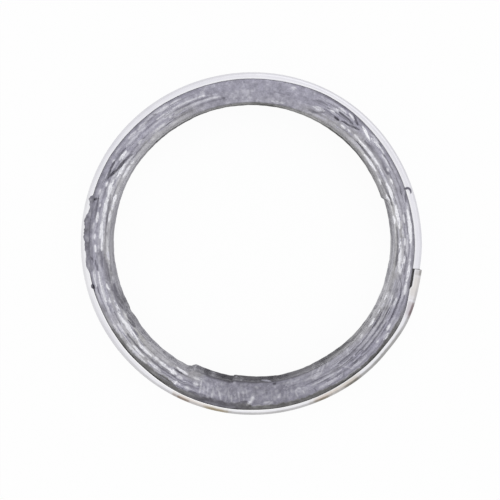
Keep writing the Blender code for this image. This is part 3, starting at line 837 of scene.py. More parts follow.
def face(angle, radius, marked):
    """Height, burnish, graphite and warmth of one face, from all its marks together.

    Burnish is the strongest shining mark, plus the light tone and the spots. Graphite is the strongest of the
    dark marks and the painted shade, less the spots. The height is the face's level less its shoulder, creases
    and folds, plus a little for burnish and for waves, and never above the dies.
    """
    part = FacePart(angle, radius, marked)
    crease = creases(part)
    bright, stroke, dark, smear = face_marks(part)
    shade = rim_shade(part)
    tone = broad_tone(part)
    mottle = spots(part)

    tangle = smooth_step(1.1 * grain(angle, radius, 330, 0.0008, 62) + 0.5 * part.middling)
    tangle = part.looped * tangle * (1.0 - part.shoulder)
    shining = [STREAK_SHINE * bright, ridge_shine(part), STROKE_SHINE * stroke, TANGLE_SHINE * tangle]
    burnish = np.maximum.reduce(shining) + np.maximum(tone, 0.0)
    burnish = np.clip(burnish + mottle + 0.09 * part.middling + 0.07 * part.fine, 0.0, 1.0)

    # Painted shade of the rolled-down turn, the groove along the lip and the bore's edge joins the dark marks.
    in_shade = (SHADE_DEPTH + humps(angle, SHADE_HUMPS)) * shade
    dark_marks_and_shade = [dark, CREASE_DARKENING * crease, SMEAR_SOOT * smear, in_shade, rim_groove_shade(part), brink_shade(part), -tone]
    graphite = np.maximum.reduce(dark_marks_and_shade) * (1.0 - 0.7 * bright * (1.0 - shade))
    graphite = np.clip(graphite - mottle + 0.06 * part.middling + 0.05 * part.fine, 0.0, 1.0)

    roll = part.shoulder * (0.40 + 0.60 * zone(angle, *SHADED_ZONE))
    sink = SHOULDER_DROP * roll + CREASE_DEPTH * crease + FOLD_DEPTH * dark
    waves = sum(depth * getattr(part, name) for name, depth in WAVES.items())
    height = np.minimum(FACE_LEVEL - sink + STREAK_RISE * burnish + waves, FACE_TOP)
    return height, burnish, graphite, face_warmth(part, dark, smear, shade)


sample_height, sample_burnish, *_ = face(sample.angle, sample.radius, 1)
print("Height in mm and burnish at the samples:", np.round(sample_height / MM, 3), sample_burnish.round(2))

# %% [markdown]
# ## Pressed turns
#
# The wound strip itself is one closed surface here. It runs up the bore, over the upper face, down behind
# the lip, round the waist under the band, and back along the lower face. A true spiral of sheet could be
# modelled turn by turn, but the press has closed the turns into one body, and only their creases show. The
# section has many rows on the upper face, where the marks are, and a few where the band hides it.

# %% Finish of the bore's wall
COLUMNS = 1260
column_angle = ((np.arange(COLUMNS) + 0.5) * 360.0 / COLUMNS)[:, None]

# How dark the wall is round the ring: partly graphite, and partly painted shade, most of all on the first
# leaf.
WALL_COVER_AND_SHADE = [
    (0, 0.08), (16, 0.12), (35, 0.20), (60, 0.10), (84, 0.26), (108, 0.18), (130, 0.08), (150, 0.06),
    (175, 0.24), (190, 0.18), (196, 0.16), (200, 0.30), (204, 0.54), (207, 0.30), (210, 0.32), (213, 0.38),
    (216, 0.20), (222, 0.17), (230, 0.14), (240, 0.16), (245, 0.16), (248, 0.36), (250, 0.66), (253, 0.66),
    (256, 0.78), (262, 0.78), (272, 0.74), (280, 0.70), (288, 0.54), (296, 0.44), (304, 0.32), (314, 0.14),
    (335, 0.0), (350, 0.0),
]
# Painted shade along the bottom of the wall, round the ring.
WALL_FOOT_SHADE = [
    (0, 0.28), (15, 0.34), (30, 0.40), (42, 0.85), (56, 0.80), (64, 0.40), (75, 0.44), (84, 0.78),
    (98, 0.68), (112, 0.75), (126, 0.85), (138, 0.66), (150, 0.28), (160, 0.18), (190, 0.16), (204, 0.06),
    (222, 0.10), (245, 0.18), (290, 0.20), (304, 0.40), (312, 0.55), (320, 0.36), (332, 0.16),
]
FOOT_SHADE_HEIGHT = 0.0017


def wall_finish(angle, height):
    """Burnish, graphite and warmth of the bore's wall.

    Graphite is the stations' share, partly graphite and partly painted shade, thickest on the first leaf,
    plus the dark foot, less the worn spots. The foot is painted shade along the bottom of the wall and over
    the whole wall at the upper side, which faces away from the light.
    """
    upper_side = hump(angle, 82.0, 70.0)
    cover_and_shade = profile(angle, WALL_COVER_AND_SHADE)
    spots = 1.2 * grain(angle, height, 420, 0.0005, 31) + 0.4 * grain(angle, height, 120, 0.001, 32)
    spots = smooth_step(spots - 0.4)
    # Painted shade: dark along the bottom of the wall, and over the whole wall at the upper side.
    foot = np.maximum(smooth_step(2.6 - height / FOOT_SHADE_HEIGHT), 0.5 * upper_side) * profile(angle, WALL_FOOT_SHADE)
    patches = 0.20 * hump(angle, 208.0, 11.0) * grain(angle, height, 240, 0.0012, 34)
    patches = patches + 0.16 * upper_side * grain(angle, height, 300, 0.0006, 35)
    graphite = np.clip(cover_and_shade + patches + foot - 0.20 * spots * (1.0 - cover_and_shade), 0.0, 1.0)
    burnish = np.clip(0.32 - 0.9 * cover_and_shade, 0.0, 1.0) + 0.12 * spots * (1.0 - upper_side) * (1.0 - cover_and_shade)
    warmth = 0.35 + 0.4 * hump(angle, 70.0, 110.0) + 0.3 * upper_side + 0.3 * hump(angle, 318.0, 40.0)
    return burnish, graphite, np.broadcast_to(np.clip(warmth, 0.0, 1.0), spots.shape)


halfway_up = wall_finish(column_angle, 0.5 * RING_HEIGHT)[1]
print("Graphite halfway up the wall, from", halfway_up.min().round(2), "to", halfway_up.max().round(2))

# %% Section of the pressed turns
WALL_ROWS = 11
WALL_END = 0.00022
WALL_ROUGH = 0.00003
UPPER_ROWS = 46
LOWER_ROWS = 14
EDGE_ROUND = 0.00016
HIDDEN_FINISH = (0.0, 0.15, 0.8)


def face_rows(count, marked):
    """Rows of one face from the bore outwards: radius, height, burnish, graphite and warmth."""
    inner = bore_radius(column_angle) + EDGE_ROUND
    radius = inner + (face_edge(column_angle) - inner) * np.linspace(0.0, 1.0, count)
    return radius, *face(column_angle, radius, marked)


def turned_over(radius, height, *finish):
    """Rows of a face as the lower face has them: the height mirrored, and the rows back to the bore."""
    return [rows[:, ::-1] for rows in (radius, RING_HEIGHT - height, *finish)]


def wall_rows():
    """Rows up the bore's wall, a little rough."""
    height = np.linspace(WALL_END, RING_HEIGHT - WALL_END, WALL_ROWS)
    radius = bore_radius(column_angle) + WALL_ROUGH * grain(column_angle, height, 260, 0.0008, 33)
    return radius, height, *wall_finish(column_angle, height)


def hidden_rows():
    """Rows behind the lips and round the waist under the band, down one side and up the other."""
    seat_height = LIP_TOP - BAND_THICKNESS - BAND_CLEARANCE
    waist = seat_radius(column_angle)
    edge = face_edge(column_angle)
    corner = waist - INNER_BEND_RADIUS
    radius = joined([edge, corner, waist, waist, corner, edge], COLUMNS)
    levels = [seat_height, seat_height, seat_height - INNER_BEND_RADIUS]
    levels += [RING_HEIGHT - level for level in reversed(levels)]
    return radius, np.array(levels), *[np.full(len(levels), share) for share in HIDDEN_FINISH]


section = zip(wall_rows(), face_rows(UPPER_ROWS, 1), hidden_rows(), turned_over(*face_rows(LOWER_ROWS, 0)))
turns_radius, turns_height, *turns_finish = [joined(rows, COLUMNS) for rows in section]
print("Section of the turns:", turns_radius.shape[1], "rows, up to", round(turns_height.max() / MM, 3), "mm")

# %% [markdown]
# ## Materials
#
# Pressed wire and graphite is one material with three states, mixed by the two shares that the mesh
# carries: bare graphite is nearly black and matte, the filled mesh is a soft lavender grey, and burnished
# wire is bright and smoother. The graphite share also carries painted shade, along the rim and the bore.
# Three separate materials would meet in hard lines, and on the real face they run into each other. Fine
# grain comes from noise on object coordinates, which stays fixed to the part.

# %% Nodes and their sockets
def new_material(name):
    """A material with nodes, and its tree and Principled shader."""
    material = bpy.data.materials.new(name)
    material.use_nodes = True
    return material, material.node_tree, material.node_tree.nodes["Principled BSDF"]


def feed(tree, socket, value):
    """Link another node's socket into this one, or set this one to a plain value."""
    if isinstance(value, bpy.types.NodeSocket):
        tree.links.new(value, socket)
    else:
        socket.default_value = value


def put(tree, kind, inputs=None, **settings):
    """A new node with its settings and, by socket name or number, its values or links."""
    node = tree.nodes.new(kind)
    for key, value in settings.items():
        setattr(node, key, value)
    for key, value in (inputs or {}).items():
        feed(tree, node.inputs[key], value)
    return node


def mix_colour(tree, share, first, second, blend="MIX"):
    """Colour between first and second by share, as a socket."""
    inputs = {0: share, 6: first, 7: second}
    return put(tree, "ShaderNodeMix", inputs, data_type="RGBA", blend_type=blend).outputs[2]


def calc(tree, operation, *values, clamp=False):
    """Result of one arithmetic node, as a socket."""
    inputs = dict(enumerate(values))
    return put(tree, "ShaderNodeMath", inputs, operation=operation, use_clamp=clamp).outputs[0]


# %% Textures and finishes
def share_from(tree, mark):
    """A share between 0 and 1 that the mesh carries, as a socket."""
    return put(tree, "ShaderNodeAttribute", attribute_name=mark).outputs["Fac"]


def object_place(tree):
    """Coordinates that stay fixed to the part, as a socket."""
    return put(tree, "ShaderNodeTexCoord").outputs["Object"]


def noise(tree, place, scale, detail, roughness=0.5):
    """Strength of a noise texture at a place, as a socket."""
    inputs = {"Vector": place, "Scale": scale, "Detail": detail, "Roughness": roughness}
    return put(tree, "ShaderNodeTexNoise", inputs).outputs["Fac"]


def drawn_noise(tree, stretch, detail, roughness=0.5):
    """Noise drawn out into lines: the UV map is scaled by stretch, little along the piece, much across it."""
    uv = put(tree, "ShaderNodeUVMap", uv_map="UVMap").outputs["UV"]
    place = put(tree, "ShaderNodeMapping", {"Vector": uv, "Scale": stretch}).outputs[0]
    return noise(tree, place, scale=1.0, detail=detail, roughness=roughness)


def coat(tree, shader, colour, metallic, roughness, relief, strength, distance):
    """Give the shader its colour, its roughness, and a fine relief from a texture."""
    bump = put(tree, "ShaderNodeBump", {"Height": relief, "Strength": strength, "Distance": distance})
    feed(tree, shader.inputs["Base Color"], colour)
    feed(tree, shader.inputs["Metallic"], metallic)
    feed(tree, shader.inputs["Roughness"], roughness)
    feed(tree, shader.inputs["Normal"], bump.outputs["Normal"])
    print("A finish of", len(tree.nodes), "nodes")


# %% Pressed wire and graphite
COOL_GREY = (0.343, 0.334, 0.406, 1.0)
WARM_GREY = (0.380, 0.374, 0.366, 1.0)
WORN_WIRE = (0.87, 0.87, 0.91, 1.0)
BARE_GRAPHITE = (0.064, 0.059, 0.075, 1.0)
DUSTY_AND_SHADED_GRAPHITE = (0.062, 0.060, 0.060, 1.0)


def layered(tree, grey, fine, shine, warmth, gain, least):
    """Grey filled mesh, then worn wire over it by shine times gain x fine + least, then bare graphite."""
    mottled = mix_colour(tree, 0.35, grey, fine, "OVERLAY")
    worn_share = calc(tree, "MULTIPLY", shine, calc(tree, "MULTIPLY_ADD", fine, gain, least), clamp=True)
    worn = mix_colour(tree, worn_share, mottled, WORN_WIRE)
    # Dusty graphite is also the colour of the painted shade along the rim.
    bare = mix_colour(tree, warmth, BARE_GRAPHITE, DUSTY_AND_SHADED_GRAPHITE)
    # The graphite share is graphite plus painted shade along the rim, the bore's edge and the bore's wall.
    return mix_colour(tree, share_from(tree, "graphite"), worn, bare)


def wire_and_graphite():
    """Filled mesh from cool to warm grey, then worn wire and bare graphite over it, each by its share."""
    material, tree, shader = new_material("wire_and_graphite")
    place = object_place(tree)
    fine = noise(tree, place, scale=5200.0, detail=3.0)
    specks = noise(tree, place, scale=1500.0, detail=2.0)
    burnish = share_from(tree, "burnish")
    warmth = share_from(tree, "warmth")
    grey = mix_colour(tree, warmth, COOL_GREY, WARM_GREY)
    grey = mix_colour(tree, 0.30, grey, specks, "OVERLAY")
    colour = layered(tree, grey, fine, burnish, warmth, gain=0.5, least=0.78)
    rough = calc(tree, "MULTIPLY_ADD", burnish, -0.22, 0.52)
    rough = calc(tree, "MULTIPLY_ADD", share_from(tree, "graphite"), 0.15, rough)
    coat(tree, shader, colour, metallic=0.75, roughness=rough, relief=fine, strength=0.5, distance=0.00004)
    return material


pressed_finish = wire_and_graphite()

# %% Make the pressed turns
turns_blocks, turns_uv = ring_blocks(*turns_radius.shape)
turns_points = at(column_angle, turns_radius, turns_height)
turns_marks = dict(zip(("burnish", "graphite", "warmth"), turns_finish))
pressed_turns = add_piece("pressed_turns", turns_points, turns_blocks, pressed_finish, turns_uv, turns_marks)
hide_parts("wound_ring")

# %% [markdown]
# ## Wires
#
# The strip is knitted from round wire a sixth of a millimetre thick, which the press flattens. A flattened
# wire is an oblong with round corners, carried along a path: it needs a direction across the path, which is
# the cross product of the surface's normal and the path's own direction. A Blender curve with a bevel could
# make them too, but its tilt would have to be set point by point, and it carries no marks for the material.
# Here all wires of one kind are made at once, as one array of paths.

# %% Worn wire
def worn_wire():
    """Flattened wire: from graphite-filled grey to burnished steel by its shine, with scratches along it."""
    material, tree, shader = new_material("worn_wire")
    scratches = drawn_noise(tree, stretch=(40.0, 6.0, 1.0), detail=2.0)
    fine = noise(tree, object_place(tree), scale=4200.0, detail=3.0)
    shine = share_from(tree, "shine")
    warmth = share_from(tree, "warmth")
    grey = mix_colour(tree, warmth, COOL_GREY, WARM_GREY)
    colour = layered(tree, grey, fine, shine, warmth, gain=0.8, least=0.62)
    colour = mix_colour(tree, 0.15, colour, scratches, "OVERLAY")
    rough = calc(tree, "MULTIPLY_ADD", shine, -0.22, 0.50)
    coat(
        tree, shader, colour, metallic=0.85, roughness=rough,
        relief=scratches, strength=0.3, distance=0.00001,
    )
    return material


wire_finish = worn_wire()

# %% Flattened wires along many paths
SQUARENESS = 0.7


def flat_wires(paths, normals, half_width, half_height, corners):
    """Tubes along paths: an oblong section, whose corners are a circle's with each side raised to a power.

    paths and normals hold wires x points x 3, and the half sizes hold wires x points.
    """
    ahead = np.gradient(paths, axis=1)
    side = unit(np.cross(normals, ahead))
    turn = 2.0 * np.pi * (np.arange(corners) + 0.5) / corners
    across = np.sign(np.cos(turn)) * np.abs(np.cos(turn)) ** SQUARENESS
    up = np.sign(np.sin(turn)) * np.abs(np.sin(turn)) ** SQUARENESS
    sideways = side[:, :, None, :] * (half_width[:, :, None] * across)[..., None]
    upwards = normals[:, :, None, :] * (half_height[:, :, None] * up)[..., None]
    return paths[:, :, None, :] + sideways + upwards


def add_wires(name, paths, normals, half_width, half_height, shine, corners, graphite=0.0, warmth=0.0):
    """One piece holding many wires. Sizes and shares are one number, or one for each wire or each point."""
    each = paths.shape[:2]
    half_width = np.broadcast_to(half_width, each)
    half_height = np.broadcast_to(half_height, each)
    points = flat_wires(paths, normals, half_width, half_height, corners)
    blocks, corner_uv = strand_blocks(*points.shape[:3])
    marks = {"shine": shine, "graphite": graphite, "warmth": warmth}
    for mark, share in marks.items():
        marks[mark] = np.repeat(np.broadcast_to(share, each)[..., None], corners, axis=2)
    piece = add_piece(name, points, blocks, wire_finish, corner_uv, marks)


print("A wire of 30 points and 8 corners has", len(strand_blocks(1, 30, 8)[0][0]), "quads")

# %% [markdown]
# ## Wires laid on the faces
#
# Every strong streak is one to three wires side by side, dipping into the graphite at both ends; the very
# short streaks have none. Between them lie dull loose wires that follow the turns with a small lean, on both
# faces alike. Where loops show, each wire is a narrow arch: half an ellipse, whose legs sink as they leave
# the crown. Scattering one wire over the face with instances would be quicker to set up, but each of these
# has to bend with its own turn, so every path is laid on the height of the face itself.

# %% Paths on a face
DIES_LEVEL = RING_HEIGHT - 0.000042
BORE_MARGIN = 0.00022
EDGE_MARGIN = 0.00016
SOOT_AND_SHADE_SHARE = 0.85


def laid_paths(angle, radius, lift, marked):
    """Paths at a lift above a face, never above the dies or off its edges; its normals; its painted shade and
    graphite.
    """
    radius = np.clip(radius, bore_radius(angle) + BORE_MARGIN, face_edge(angle) - EDGE_MARGIN)
    level, _, soot_and_shade, _ = face(angle, radius, marked)
    level = np.minimum(level + lift, DIES_LEVEL)
    height = level if marked else RING_HEIGHT - level
    paths = at(angle, radius, height)
    return paths, np.broadcast_to((0.0, 0.0, 1.0 if marked else -1.0), paths.shape), soot_and_shade


def end_dive(count, share):
    """0 along a path, rising to 1 over a share of its length at both its ends."""
    t = np.linspace(0.0, 1.0, count)
    return 1.0 - smooth_step(np.minimum(t, 1.0 - t) / share)


print("A path of 7 points dives by", end_dive(7, 0.3).round(2))

# %% Wires of the strong streaks
STREAK_POINTS = 30
STREAK_CORNERS = 8
STREAK_HALF_HEIGHT = 0.00004
STREAK_SOOT_AND_SHADE = 0.8
WIRE_LIFT = 0.00003 - STREAK_HALF_HEIGHT
WIRE_DIVE = 0.00011
SHORTEST_WIRE_DEG = 2.6
TWO_WIRES_WIDE = 0.25
THREE_WIRES_WIDE = 0.40


def streak_paths():
    """Wires in the strong streaks: angle and radius of each point, half width and strength of each wire.

    A wide streak holds two or three wires that start and end apart, lean a little and wave gently.
    """
    share = np.linspace(0.0, 1.0, STREAK_POINTS)
    lines, sizes = [], []
    random = np.random.default_rng(71)
    for start, end, first, last, width, strength in BRIGHT_STREAKS:
        length = turned(end, start)
        if length < SHORTEST_WIRE_DEG:
            continue
        count = 1 + (width > TWO_WIRES_WIDE) + (width > THREE_WIRES_WIDE)
        for place in np.linspace(-0.5, 0.5, count) * (count > 1):
            trim = random.uniform(0.0, 0.30, 2) * (count > 1)
            s = trim[0] + (1.0 - trim[0] - trim[1]) * share
            lean = random.normal(0.0, 0.16)
            wave = 0.10 * np.sin(2.0 * np.pi * (random.uniform() + s * length / 4.0))
            radius = first + (last - first) * s + width * (0.62 * place + lean * (s - 0.5) + wave)
            lines.append((start + length * s, radius * MM))
            sizes.append((random.uniform(0.85, 1.1) * width / (1.0 + count) * MM, strength))
    angle, radius = np.array(lines).transpose(1, 0, 2)
    half_width, strength = np.array(sizes).T[..., None]
    seen = at(angle, radius, 0.0) + np.array([*MARKS_CENTRE, 0.0])
    return *polar(seen), half_width, strength


def streak_wires():
    """The bright wires: they dive at both ends, and weak ones lie a little deeper."""
    angle, radius, half_width, strength = streak_paths()
    dive = end_dive(STREAK_POINTS, 0.30)
    lift = WIRE_LIFT - WIRE_DIVE * dive - 0.5 * WIRE_DIVE * smooth_step(0.8 - strength)
    # The face's graphite share, painted shade included, darkens the wires.
    paths, normals, soot_and_shade = laid_paths(angle, radius, lift, 1)
    flicker = 0.5 + 0.5 * grain(angle, radius, 700, 0.0002, 72)
    shine = strength * (0.80 + 0.25 * flicker)
    half_width = half_width * (1.0 - 0.55 * dive)
    soot_and_shade = STREAK_SOOT_AND_SHADE * soot_and_shade
    add_wires("streak_wires", paths, normals, half_width, STREAK_HALF_HEIGHT, shine, STREAK_CORNERS, soot_and_shade)


streak_wires()

# %% Loose wires of both faces
LOOSE_POINTS = 14
LOOSE_HALF_HEIGHT = 0.000035
LOOSE_HALF_WIDTHS = (0.00005, 0.00009)
LOOSE_HALF_LENGTHS_DEG = (1.0, 5.6)
LOOSE_INSET = 0.0002
LOOSE_MARGINS = 0.00045
LOOSE_SINK = 0.000005
LOOSE_DIVE = 0.00010
CALM_DIVE = 0.00006
LOOSE_UNEVEN = 0.00002
LEAN_RADIUS = 0.019
FINE_CORNERS = 6


def loose_wires(name, count, marked, seed, more_shine):
    """Dull wires that follow the turns: random place, length and a small lean.

    The radius is the bore's plus an inset, plus the room to the edge times place, plus lean times arc.
    """
    random = np.random.default_rng(seed)
    middle = random.uniform(0.0, 360.0, (count, 1))
    half_length = random.uniform(*LOOSE_HALF_LENGTHS_DEG, (count, 1))
    lean = random.normal(0.0, 0.05, (count, 1))
    place = random.uniform(0.06, 0.90, (count, 1))
    t = np.linspace(-1.0, 1.0, LOOSE_POINTS)
    dive = end_dive(LOOSE_POINTS, 0.3)
    angle = middle + half_length * t
    room = face_edge(angle) - bore_radius(angle) - LOOSE_MARGINS
    drift = lean * np.radians(half_length) * t * LEAN_RADIUS
    radius = bore_radius(angle) + LOOSE_INSET + room * place + drift
    calm = marked * (zone(middle, *MATTE_ZONE) + zone(middle, *LOOP_ZONE))
    lift = -LOOSE_SINK - LOOSE_DIVE * dive - CALM_DIVE * calm
    lift = lift - random.uniform(0.0, LOOSE_UNEVEN, (count, 1))
    paths, normals, soot_and_shade = laid_paths(angle, radius, lift, marked)
    half_width = random.uniform(*LOOSE_HALF_WIDTHS, (count, 1)) * (1.0 - 0.6 * dive)
    shine = random.uniform(0.05, 0.42, (count, 1)) * (1.0 - 0.6 * calm) + more_shine
    soot_and_shade = SOOT_AND_SHADE_SHARE * soot_and_shade
    add_wires(name, paths, normals, half_width, LOOSE_HALF_HEIGHT, shine, FINE_CORNERS, soot_and_shade)


loose_wires("upper_wires", count=340, marked=1, seed=73, more_shine=0.0)
loose_wires("lower_wires", count=460, marked=0, seed=74, more_shine=0.08)

# %% Knitted loops that show at the lower side
LOOP_HALF_WIDTH = 0.000065
LOOP_POINTS = 14
LOOP_SPREAD_DEG = (249.0, 291.0)
LOOP_SPREAD_MM = (18.55, 20.60)
LOOP_LEGS_MM = (0.35, 0.85)
LOOP_GAPS_MM = (0.10, 0.20)
LOOP_SINK = 0.00001
LOOP_DIVE = 0.00008
LOOP_UNEVEN = 0.00003


def loop_crowns(count):
    """Narrow arches of wire where loops show: half an ellipse each, leaning by chance."""
    random = np.random.default_rng(75)
    middle = random.uniform(*LOOP_SPREAD_DEG, (count, 1))
    place = random.uniform(*LOOP_SPREAD_MM, (count, 1)) * MM
    t = np.linspace(-0.5 * np.pi, 0.5 * np.pi, LOOP_POINTS)
    length = random.uniform(*LOOP_LEGS_MM, (count, 1)) * MM * random.choice([-1.0, 1.0], (count, 1))
    gap = random.uniform(*LOOP_GAPS_MM, (count, 1)) * MM
    lean = random.normal(0.0, 0.35, (count, 1))
    across = gap * np.sin(t)
    along = length * (np.cos(t) - 0.5)
    arc = across * np.cos(lean) + along * np.sin(lean)
    radius = place + along * np.cos(lean) - across * np.sin(lean)
    angle = middle + np.degrees(arc / radius)
    lift = -LOOP_SINK - LOOP_DIVE * (1.0 - np.cos(t)) - random.uniform(0.0, LOOP_UNEVEN, (count, 1))
    paths, normals, soot_and_shade = laid_paths(angle, radius, lift, 1)
    shine = random.uniform(0.04, 0.28, (count, 1))
    soot_and_shade = SOOT_AND_SHADE_SHARE * soot_and_shade
    add_wires("loop_crowns", paths, normals, LOOP_HALF_WIDTH, LOOSE_HALF_HEIGHT, shine, FINE_CORNERS, soot_and_shade)


loop_crowns(count=150)

# %% [markdown]
# ## Knitted wires of the bore
#
# On the bore the strip shows its flat side, so its knitting is whole. One course of weft knitting is a wave
# that leans over itself: along the course, x = pitch t / 2 pi + a sin 2t, and across it, y = b cos t, while
# it passes over and under its neighbours as c cos 2t. Courses stand one beside the next round the bore, each
# hooked into the last, and graphite hides them in patches. A bump texture could fake the loops from afar,
# but the bore is seen at a glancing angle, where only real wires keep their outline.

# %% Knitting on the bore
LOOP_PITCH = 0.00112
LOOP_OVERHANG = 0.00011
LOOP_HALF_LENGTH = 0.00092
COURSE_COUNT = 92
COURSE_FOOT = 0.00014
COURSE_POINTS = 68
COURSE_UNEVEN = 0.00004
COURSE_SWAY = 0.0001
LOOPS_IN_COURSE = 4.5
LOOP_LENGTHS = (0.92, 1.06)
KNIT_DEPTH = -0.00001
UNDER_AND_OVER = 0.00002
BURIED_DEPTH = 0.00008
RIMS_DEPTH = 0.00022
KNIT_HALF_WIDTH = 0.000065
KNIT_HALF_HEIGHT = 0.00004
WALL_GLINTS = [(253.7, 1.3), (263.0, 1.2), (265.6, 0.8), (289.3, 1.6), (293.4, 1.2), (296.7, 1.3)]


def course_paths():
    """Angle, radius and height along all the courses, sunk where graphite buries them and near the rims."""
    t = np.linspace(0.0, 2.0 * np.pi * LOOPS_IN_COURSE, COURSE_POINTS)
    course = np.arange(COURSE_COUNT)[:, None]
    random = np.random.default_rng(81)
    height = COURSE_FOOT + LOOP_PITCH * t / (2.0 * np.pi) + LOOP_OVERHANG * np.sin(2.0 * t)
    height = height + random.uniform(-COURSE_UNEVEN, COURSE_UNEVEN, (COURSE_COUNT, 1))
    sway = COURSE_SWAY * np.sin(height / RING_HEIGHT * 5.0 + course * 0.13)
    arc = LOOP_HALF_LENGTH * np.cos(t) * random.uniform(*LOOP_LENGTHS, (COURSE_COUNT, 1)) + sway
    angle = course * 360.0 / COURSE_COUNT + np.degrees(arc / BORE_RADIUS)
    buried = smooth_step(0.12 + 1.5 * grain(angle, height, 60, 0.0016, 82))
    rims = smooth_step(1.0 - np.minimum(height, RING_HEIGHT - height) / (0.45 * MM))
    depth = KNIT_DEPTH + UNDER_AND_OVER * np.cos(2.0 * t) + BURIED_DEPTH * buried + RIMS_DEPTH * rims
    return angle, bore_radius(angle) + depth, height


def bore_knitting():
    """All the courses round the bore, with bright glints on the first leaf where the wires are bare."""
    angle, radius, height = course_paths()
    normals = -at(angle, np.ones_like(angle), 0.0)
    # The wall's graphite share, painted shade included, darkens the knitting.
    _, soot_and_shade, warmth = wall_finish(angle, height)
    glint = np.maximum.reduce([hump(angle, centre, 1.5 * half_width) for centre, half_width in WALL_GLINTS])
    glint = glint * smooth_step(height / (1.6 * MM))
    shine = 0.36 * (1.0 - soot_and_shade) + 0.12 * grain(angle, height, 300, 0.0004, 83)
    shine = np.clip(np.maximum(shine, 0.24 * glint), 0.0, 1.0)
    soot_and_shade = SOOT_AND_SHADE_SHARE * soot_and_shade * (1.0 - 0.7 * glint)
    paths = at(angle, radius, height)
    half_sizes = (KNIT_HALF_WIDTH, KNIT_HALF_HEIGHT)
    add_wires("bore_knitting", paths, normals, *half_sizes, shine, FINE_CORNERS, soot_and_shade, warmth)


bore_knitting()

# %% [markdown]
# ## The strip's loose bits
#
# Four bits of the strip stand free: a torn tail hooked over the lip near 19 degrees, a smear of graphite
# squeezed out over the lip between 162 and 190 degrees, a crumb beside it near 194 degrees, and a bent flap
# on the edge of the bore near 277 degrees. They could be pushed out of the face by hand, but as pieces of
# their own they keep a real edge. Each is a short path or edge, given as angle, radius, height and half
# width, with the lengths in millimetres.

# %% Tail, flap and crumb
TAIL_PATH = [
    (20.2, 20.86, 4.98, 0.09), (20.2, 21.04, 5.08, 0.14), (20.2, 21.20, 5.13, 0.15),
    (20.1, 21.36, 5.15, 0.15), (19.8, 21.50, 5.17, 0.14), (19.2, 21.58, 5.17, 0.12),
    (18.5, 21.57, 5.15, 0.09), (18.0, 21.49, 5.14, 0.04),
]
FLAP_PATH = [
    (273.6, 17.80, 4.20, 0.04), (274.6, 17.80, 4.48, 0.11), (275.6, 17.83, 4.74, 0.16),
    (276.8, 17.92, 4.94, 0.18), (277.8, 18.06, 5.04, 0.14), (278.6, 18.20, 5.04, 0.06),
]
CRUMB_PATH = [
    (193.7, 21.36, 4.98, 0.04), (194.2, 21.42, 5.06, 0.15),
    (194.9, 21.44, 5.07, 0.16), (195.4, 21.38, 5.0, 0.05),
]
STEPS_A_POINT = 6
SLIVER_CORNERS = 10
SMOOTHING = (0.25, 0.5, 0.25)
SMOOTHING_ROUNDS = 4


def add_sliver(name, path, inward, half_height, shine, graphite):
    """A tapering sliver of strip along a given path of angle, radius, height and half width.

    Its flat side faces up, turned towards the axis by the share inward.
    """
    rows = np.array(path)
    steps = np.linspace(0.0, len(rows) - 1.0, STEPS_A_POINT * len(rows))
    values = np.stack([np.interp(steps, np.arange(len(rows)), stations) for stations in rows.T])
    for _ in range(SMOOTHING_ROUNDS):
        values[:, 1:-1] = np.stack([np.convolve(row, SMOOTHING, "valid") for row in values])
    angle, radius, height, half_width = values
    paths = at(angle, radius * MM, height * MM)[None]
    normals = unit(at(angle, np.full_like(angle, -inward), 1.0))[None]
    add_wires(name, paths, normals, half_width * MM, half_height, shine, SLIVER_CORNERS, graphite)


add_sliver("torn_tail", TAIL_PATH, inward=0.0, half_height=0.00011, shine=0.0, graphite=0.62)
add_sliver("bore_flap", FLAP_PATH, inward=0.6, half_height=0.00005, shine=0.16, graphite=0.1)
add_sliver("edge_crumb", CRUMB_PATH, inward=0.0, half_height=0.00009, shine=0.0, graphite=0.80)

# %% Squeezed-out graphite
SPILL_EDGE = [
    (161.6, 21.35), (162.3, 21.50), (163.3, 21.86), (164.3, 21.98), (165.4, 21.76), (167.0, 21.56),
    (168.8, 21.60), (169.8, 21.90), (172.0, 21.96), (174.0, 21.86), (177.6, 21.92), (179.0, 21.72),
    (181.6, 21.70), (184.2, 21.60), (185.8, 21.70), (187.4, 21.72), (188.6, 21.50), (190.2, 21.38),
]
SPILL_COLUMNS = 240
SPILL_ROWS = 9
SPILL_SWELL = 0.00012
SPILL_ROOT = 0.0002
SPILL_RAGGED = 0.00005
SPILL_ROUGH = 0.00002
SPILL_ENDS_DEG = 1.2
SPILL_UPPER_SINK = 0.00003
SPILL_LOWER_SINK = 0.00006


